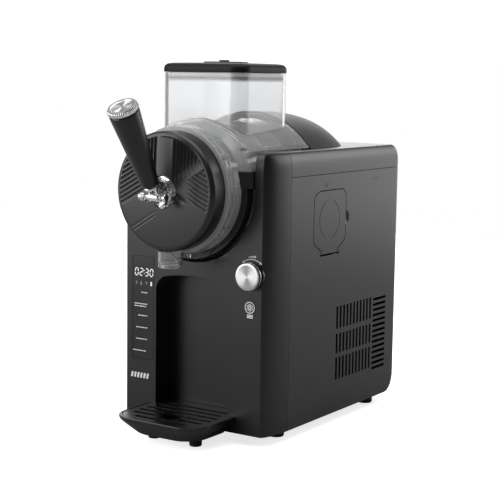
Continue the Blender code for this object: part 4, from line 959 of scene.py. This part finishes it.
# ---- valve, spout and tap
def make_valve():
    def lobes(r, h, angle, index):
        return (r - 1.5 * abs(sin(4 * angle)) ** 0.8, h) if r > 12 and h < -45 else (r, h)

    boss = lathe([(0, -55), (9.5, -55), (10.5, VALVE.y0 + 10.9), (BOSS_R - 2.8, VALVE.y0 + 10.9),
        (BOSS_R, -58.6), (BOSS_R, -31), (0, -31)], 0.7, 128, lobes, count=3)
    boss = place(boss, AXIS, "Y")
    plate = place(rod(59.5, -34, -31, 0.4, 96), AXIS, "Y")
    tower = place(rod(VALVE_BORE + 1.9, 205, 270, 0.3, 48), (0, SPOUT.y, 0))
    ears = [box((x0, VALVE.y0, PIVOT_Z - 5.5), (x1, -56, PIVOT_Z + 5.5), 1.4, 4)
        for x0, x1 in ((8.2, 11.6), (-11.6, -8.2))]
    limit = place(rod(COVER_R - 3.4, -90, -30.6, 0, 96), AXIS, "Y")
    bore = place(rod(VALVE_BORE, 200, 300, 0, 48), (0, SPOUT.y, 0))
    slot = box((-7, -90, PIVOT_Z - 7), (7, -50, 286))
    rise = box((-7, -53, PIVOT_Z - 7), (7, SPOUT.y, 300))
    port = place(rod(6, SPOUT.y, -20, 0), (0, 0, 225), "Y")
    drill = place(rod(3.0, -30, 30, 0), (0, PIVOT_Y, PIVOT_Z), "X")
    valve = worked(boss, joins=[plate, tower, *ears], keeps=[limit], cuts=[bore, slot, rise, port, drill],
        edge=0.3)
    piece("valve_clear", valve, "clear_bright", "vessel", ["valve_body"])
    outer = SPOUT.x1
    cup = lathe([(outer - 1.9, SPOUT.z0 + 0.4), (outer - 1.4, SPOUT.z0), (outer - 0.4, SPOUT.z0 + 0.6),
        (outer, SPOUT.z0 + 1.6), (outer, 215), (outer - 2.2, 215), (outer - 2.2, SPOUT.z0 + 6.4),
        (outer - 2.8, SPOUT.z0 + 5.8), (outer - 2.8, SPOUT.z0 + 4.6), (outer - 2.1, SPOUT.z0 + 3.8)], 0.4,
        128, closed=True, count=3, wrap=True)
    cup = place(cup, (0, SPOUT.y, 0))
    above = place(rod(COVER_R + 0.4, -90, -29.9, 0, 128), AXIS, "Y")
    above_ring = place(rod(RING_R + 0.4, -30.2, -5, 0, 128), AXIS, "Y")
    tab = box((outer + 0.3, -31.5, 203.8), (outer + 3.4, -26.0, 208.5), 0.5, 2)
    cup = worked(cup, cuts=[above, above_ring])
    piece("spout_cup", cup, "clear_bright", "vessel", ["spout"])
    above = place(rod(COVER_R + 0.5, -90, -29.9, 0, 96), AXIS, "Y")
    above_ring = place(rod(RING_R + 0.5, -30.2, -5, 0, 96), AXIS, "Y")
    tab = worked(tab, cuts=[above, above_ring])
    piece("spout_tab", tab, "clear_bright", "vessel")


def make_tap():
    at = (0, PIVOT_Y, PIVOT_Z)
    hub = place(lathe([(0, -6.5), (4.4, -6.5), (5.3, -5.4), (5.3, -3.6), (4.7, -3.1), (4.7, 3.1),
        (5.3, 3.6), (5.3, 5.4), (4.4, 6.5), (0, 6.5)], 0.3, 64), at, "X")
    arms = [box((x0, PIVOT_Y, PIVOT_Z - 2), (x1, PIVOT_Y + 27.5, PIVOT_Z + 2), 0.5, 2)
        for x0, x1 in ((3.9, 6.3), (-6.3, -3.9))]
    fork = [place(box((x0, -1.7, 0), (x1, 1.7, 15), 0.5, 2), at, lean=TILT)
        for x0, x1 in ((3.2, 6.2), (-6.2, -3.2))]
    collar = place(lathe([(0, 12.2), (7.6, 12.2), (8.6, 13.0), (8.6, 14.6), (8.0, 15.6), (0, 15.6)], 0.3,
        64), at, lean=TILT)
    stud = place(rod(3.8, 14, 62, 0.4, 32), at, lean=TILT)
    drill = place(rod(3.0, -20, 20, 0, 32), at, "X")
    lever = worked(hub, joins=[*arms, *fork, collar, stud], cuts=[drill])
    piece("lever_fork", lever, "chrome", "tap_handle", ["tap_lever"])

    def knurl(r, h, angle, index):
        return (r - 0.25 * (1 + cos(18 * angle)) / 2, h) if r > 3.4 and h < -20.9 else (r, h)

    x0, x1 = PIN.x0, PIN.x1
    shape = [(0, x0), (3.0, x0, 0.3), (3.6, x0 + 0.5, 0.2), (3.6, x0 + 2.0, 0.2), (2.65, x0 + 2.4),
        (2.65, x1 - 2.6), (4.2, x1 - 2.6), (4.2, x1 - 0.7), (3.4, x1 - 0.1), (0, x1)]
    pin = place(lathe(shape, 0.25, 108, knurl), at, "X")
    slot = box((x1 - 0.9, PIVOT_Y - 5, PIVOT_Z - 0.5), (x1 + 1, PIVOT_Y + 5, PIVOT_Z + 0.5))
    piece("pivot_pin", worked(pin, cuts=[slot]), "chrome", "vessel", ["tap_pin"])
    turns, fine = 3.5, 28
    coil = []
    for i in range(int(turns * fine) + 1):
        a = 2 * pi * i / fine
        coil.append((SPRING.x0 + 0.6 + (SPRING.x1 - SPRING.x0 - 1.2) * i / (turns * fine),
            PIVOT_Y + 4.3 * cos(a), PIVOT_Z + 4.3 * sin(a)))
    piece("return_spring", sweep(coil, 0.6, 10), "chrome", "vessel", ["tap_spring"])

    screw = worked(spun([(0, 0), (4.6, 0), (4.7, 0.8), (4.3, 1.9), (3.2, 2.7), (1.6, 3.1), (0, 3.2)], 64),
        cuts=[box((-5, -0.55, 2.0), (5, 0.55, 6))])
    screw.transform(Matrix.Translation((10.9, VALVE.y0 + 4.4, PIVOT_Z - 6.6))
        @ Matrix.Rotation(radians(90), 4, "X") @ Matrix.Rotation(radians(35), 4, "Z"))
    piece("valve_screw", screw, "chrome", "vessel")

    grip = soften([(0, 64), (4.2, 64), (4.2, 16), (8.5, 16, 0.4), (9.5, 17.5, 1.0), (15.8, 98, 6),
        (16, 102.5, 1.2), (15, 104, 0.5), (0, 104)], 0.4, closed=False, count=5)
    piece("grip_moulding", place(spun(grip, 128), at, lean=TILT), "grip_black", "tap_handle",
        ["tap_grip"])
    start = 104.4
    rings = [(0, start), (15.4, start), (16.0, start + 0.5), (16.6, start + 1.0), (16.6, start + 2.4),
        (16.6, start + 4.0), (15.9, start + 4.8), (15.1, start + 6.0), (12.6, start + 6.0),
        (12.2, start + 5.6), (11.6, start + 5.4)]
    for r in (10.4, 8.8, 7.2, 5.6, 4.0, 2.4):
        rings += [(r + 0.25, start + 5.4), (r, start + 5.1), (r - 0.25, start + 5.4)]
    rings.append((0, start + 5.4))

    def knurled(r, h, angle, index):
        if r > 14.9 and start + 0.4 < h < start + 6.0:
            return r - 0.7 * abs(sin(24 * angle)), h
        return r, h

    piece("cap_knurled", place(spun(rings, 288, knurled), at, lean=TILT), "cap_silver", "tap_handle",
        ["grip_cap"])


# ---- drip tray
def tray_outline(inset, rear=0.0, r=26.0):
    x, front = TRAY.x1 - inset, TRAY.y0 + inset
    right = arc(x - r, front + r, r, r, -90, 0, 22) + [(x, -GAP - rear)]
    return right + [(-px, py) for px, py in reversed(right)]


def tray_ring(z, inset, rear=0.0):
    return [(x, y, z) for x, y in tray_outline(inset, rear)]


def make_tray():
    low, top = TRAY.z0, TRAY.z1
    outside = [tray_ring(z, i) for z, i in ((low, 14.8), (low + 0.3, 14.2), (14, 10.5), (19, 6.0),
        (23, 2.5), (25.5, 0.8), (27.5, 0.1), (top - 1.0, 0.0), (top - 0.3, 0.3), (top, 1.0))]
    body = loft(outside)
    tongue = box((-48.6, -6, 17.0), (48.6, TRAY.y1, top), 0.6, 2)
    basin = loft([tray_ring(z, i, 3.0) for z, i in ((12.2, 16.5), (12.6, 15.6), (15, 12.6), (20, 8.2),
        (24, 5.2), (26, 4.8))])
    mouth = loft([tray_ring(z, 2.2, 2.2) for z in (25.8, 40)])
    space = box((-46.4, -12, 19.2), (46.4, TRAY.y1 - 2.2, 40))
    tray = worked(body, joins=[tongue], cuts=[basin, mouth, space], edge=0.25)
    piece("tray_moulding", tray, "satin_black", "drip_tray", ["drip_tray"])

    plate = loft([tray_ring(z, i, i) for z, i in ((GRATE.z0, 2.9), (GRATE.z1 - 0.5, 2.6),
        (GRATE.z1, 3.1))])
    tail = box((-46.0, -12, GRATE.z0), (46.0, GRATE.y1, GRATE.z1), 0.4, 2)
    slots = []
    for i, half in enumerate((44, 44, 48, 48, 46, 34)):
        y = 8.5 - 13.0 * i
        spans = [(-half, -16), (16, half)] if i in (3, 4) else [(-half, half)]
        for a, b in spans:
            slots.append(prism(rounded(a, b, y - 3, y + 3, 2.2, 5), "XY", 20, 40))
    hole = place(rod(11.5, 20, 40, 0, 72), (0, -37, 0))
    grate = worked(plate, joins=[tail], cuts=[together(*slots), hole], edge=0.7, segments=3)
    piece("grate_moulding", grate, "satin_black", "drip_grate", ["drip_grate"])


# ---- auger, drum and the hidden works
def make_auger():
    inner, outer, length, turns, fine = 53.6, 72.0, 86.0, 2.2, 72
    rings = []
    for i in range(int(turns * fine) + 1):
        a = 2 * pi * i / fine
        y = 12.5 + length * i / (turns * fine)
        rings.append([(r * cos(a), y + dy, AXIS_Z - r * sin(a)) for r, dy in ((inner, -1.2), (inner, 1.2),
            (outer - 0.8, 1.5), (outer, 0.7), (outer, -0.7), (outer - 0.8, -1.5))])
    blade = loft(rings)
    rim = place(ring(53.8, 71.2, 9.8, 14.8, 0.6, 96), AXIS, "Y")
    hub = place(ring(5.3, 15, 7.5, 15.5, 0.6, 64), AXIS, "Y")
    spokes = []
    for turn in (0, 120, 240):
        spoke = box((8, 10, -4.5), (70, 14.5, 4.5), 1.0, 2)
        spoke.transform(Matrix.Translation(AXIS) @ Matrix.Rotation(radians(turn), 4, "Y"))
        spokes.append(spoke)
    auger = worked(blade, joins=[rim, *spokes, hub])
    piece("auger_screw", auger, "white_plastic", "auger", ["auger"])
    rear = DRUM.y1 - 12.4
    shell = lathe([(7, 20), (49, 20, 1), (52, 23, 2.5), (52, rear), (50, rear), (50, 24, 1),
        (48, 22.2, 1), (9.8, 22.2), (9.8, DRUM.y1), (7, DRUM.y1)], 0.2, 128, closed=True, count=5,
        wrap=True)
    piece("drum_shell", place(shell, AXIS, "Y"), "stainless", "machine", ["freezing_drum"])
    plate = Span("bulkhead")
    piece("bulkhead_plate", place(ring(10.2, plate.x1, plate.y0, plate.y1, 0.3, 128), AXIS, "Y"),
        "stainless", "machine", ["bulkhead"])


# CAD nodes shown as they are, by look.
KEPT = {
    "silicone_clear": "vessel_gasket front_seal",
    "silicone_dark": "lid_gasket plunger_seal shaft_seal",
    "white_plastic": "plunger",
    "stainless": "drive_shaft",
    "nylon": "drive_gear",
    "steel": "motor_pinion gearmotor fan_motor hatch_pin",
    "bronze": "shaft_bearing",
    "copper": "evaporator_coil refrigerant_pipe",
    "enamel": "compressor base_pan",
    "fins": "condenser",
    "satin_black": "fan_shroud condenser_fan hatch_pocket",
    "board": "display_board panel_board",
}


def dress_kept_nodes():
    for look, nodes in KEPT.items():
        for node in nodes.split():
            thing = frame["nodes"][node]
            dress(thing.data, look, 35)


# ---- studio
def make_camera():
    """The camera stands in front, a little to the right and above, with a long lens."""
    position = Vector((0.8390, FRONT - 1.1528, 0.3970))
    target = Vector((-0.0110, FRONT + 0.1300, 0.1937))
    roll = radians(0.8155)
    forward = (target - position).normalized()
    level = forward.cross(Vector((0, 0, 1))).normalized()
    upright = level.cross(forward)
    right = level * cos(roll) + upright * sin(roll)
    up = upright * cos(roll) - level * sin(roll)
    camera = add_object("camera", bpy.data.cameras.new("camera"))
    camera.data.lens = 94.8
    camera.data.sensor_width = 36.0
    camera.matrix_world = Matrix((right, up, -forward)).transposed().to_4x4()
    camera.location = position
    bpy.context.scene.camera = camera


def soft_light(name, at, aim, width, height, power):
    lamp = bpy.data.lights.new(name, "AREA")
    lamp.shape = "RECTANGLE"
    lamp.size, lamp.size_y, lamp.energy = width, height, power
    thing = add_object(name, lamp)
    thing.location = at
    thing.rotation_euler = (Vector(aim) - Vector(at)).to_track_quat("-Z", "Y").to_euler()


def make_floor():
    """A pale paper floor, kept dim in reflections as in a tented product shot."""
    bm = bmesh.new()
    bmesh.ops.create_grid(bm, x_segments=8, y_segments=8, size=1.8)
    mesh = bpy.data.meshes.new("floor")
    bm.to_mesh(mesh)
    bm.free()
    paper = bpy.data.materials.new("white_floor")
    paper.use_nodes = True
    tree = paper.node_tree
    seen = add_node(tree, "LightPath").outputs["Is Camera Ray"]
    colour = add_node(tree, "Mix", {"Factor": seen, 6: (FLOOR_DIM,) * 3 + (1,), 7: (0.93, 0.93, 0.93, 1)},
        data_type="RGBA")
    glow = add_node(tree, "Math", {0: seen, 1: 0.75}, operation="MULTIPLY").outputs["Value"]
    feed(tree, tree.nodes["Principled BSDF"], {"Roughness": 0.9, "Specular IOR Level": 0.1,
        "Base Color": colour.outputs[2], "Emission Color": (1, 1, 1, 1), "Emission Strength": glow})
    mesh.materials.append(paper)
    add_object("floor", mesh)


FLOOR_DIM = 0.38
# Studio walls as (direction, cosine where it starts, cosine where it is full, brightness).
WALLS = [((-0.30, 0.94, -0.15), 0.50, 0.92, 0.80), ((0.46, 0.885, -0.07), 0.82, 0.985, 1.28),
    ((-0.66, -0.66, 0.36), 0.80, 0.985, 3.10), ((0.0, 0.0, 1.0), 0.60, 0.95, 1.20),
    ((-0.50, 0.80, 0.33), 0.925, 0.985, 1.20)]
DARK = 0.10


def make_world():
    """White behind the machine as the camera sees it; soft walls and a dark front for everything else."""
    world = bpy.data.worlds.new("studio")
    bpy.context.scene.world = world
    world.use_nodes = True
    tree = world.node_tree
    where = add_node(tree, "TexCoord").outputs["Generated"]
    total = DARK
    for way, start, full, bright in WALLS:
        toward = add_node(tree, "VectorMath", {0: where, 1: way},
            operation="DOT_PRODUCT").outputs["Value"]
        level = add_node(tree, "MapRange", {"Value": toward, "From Min": start, "From Max": full,
            "To Min": 0.0, "To Max": bright}, interpolation_type="SMOOTHSTEP").outputs["Result"]
        total = add_node(tree, "Math", {0: total, 1: level}).outputs["Value"]
    seen = add_node(tree, "LightPath").outputs["Is Camera Ray"]
    strength = add_node(tree, "Math", {0: seen, 1: total}, operation="MAXIMUM").outputs["Value"]
    feed(tree, tree.nodes["Background"], {"Color": (1.0, 1.0, 1.0, 1.0), "Strength": strength})


def make_lights():
    aim = (0, 0, 0.22)
    soft_light("overhead_softbox", (0.1, 0.0, 1.7), aim, 1.6, 1.6, 9)
    soft_light("side_softbox", (1.3, 1.6, 0.95), (0.05, 0.02, 0.22), 1.2, 0.9, 6)
    soft_light("front_softbox", (-1.1, -1.6, 0.45), aim, 1.4, 0.8, 5)


make_front_shell()
make_side_panels()
make_top_cover()
make_rear()
make_dome()
make_cradle()
make_feet()
make_hatch()
make_inlet()
make_display()
make_controls()
make_vessel()
make_collar()
make_lid()
make_front_cover()
make_valve()
make_tap()
make_tray()
make_auger()
dress_kept_nodes()
make_camera()
make_floor()
make_world()
make_lights()
bpy.context.scene.view_settings.view_transform = "Standard"
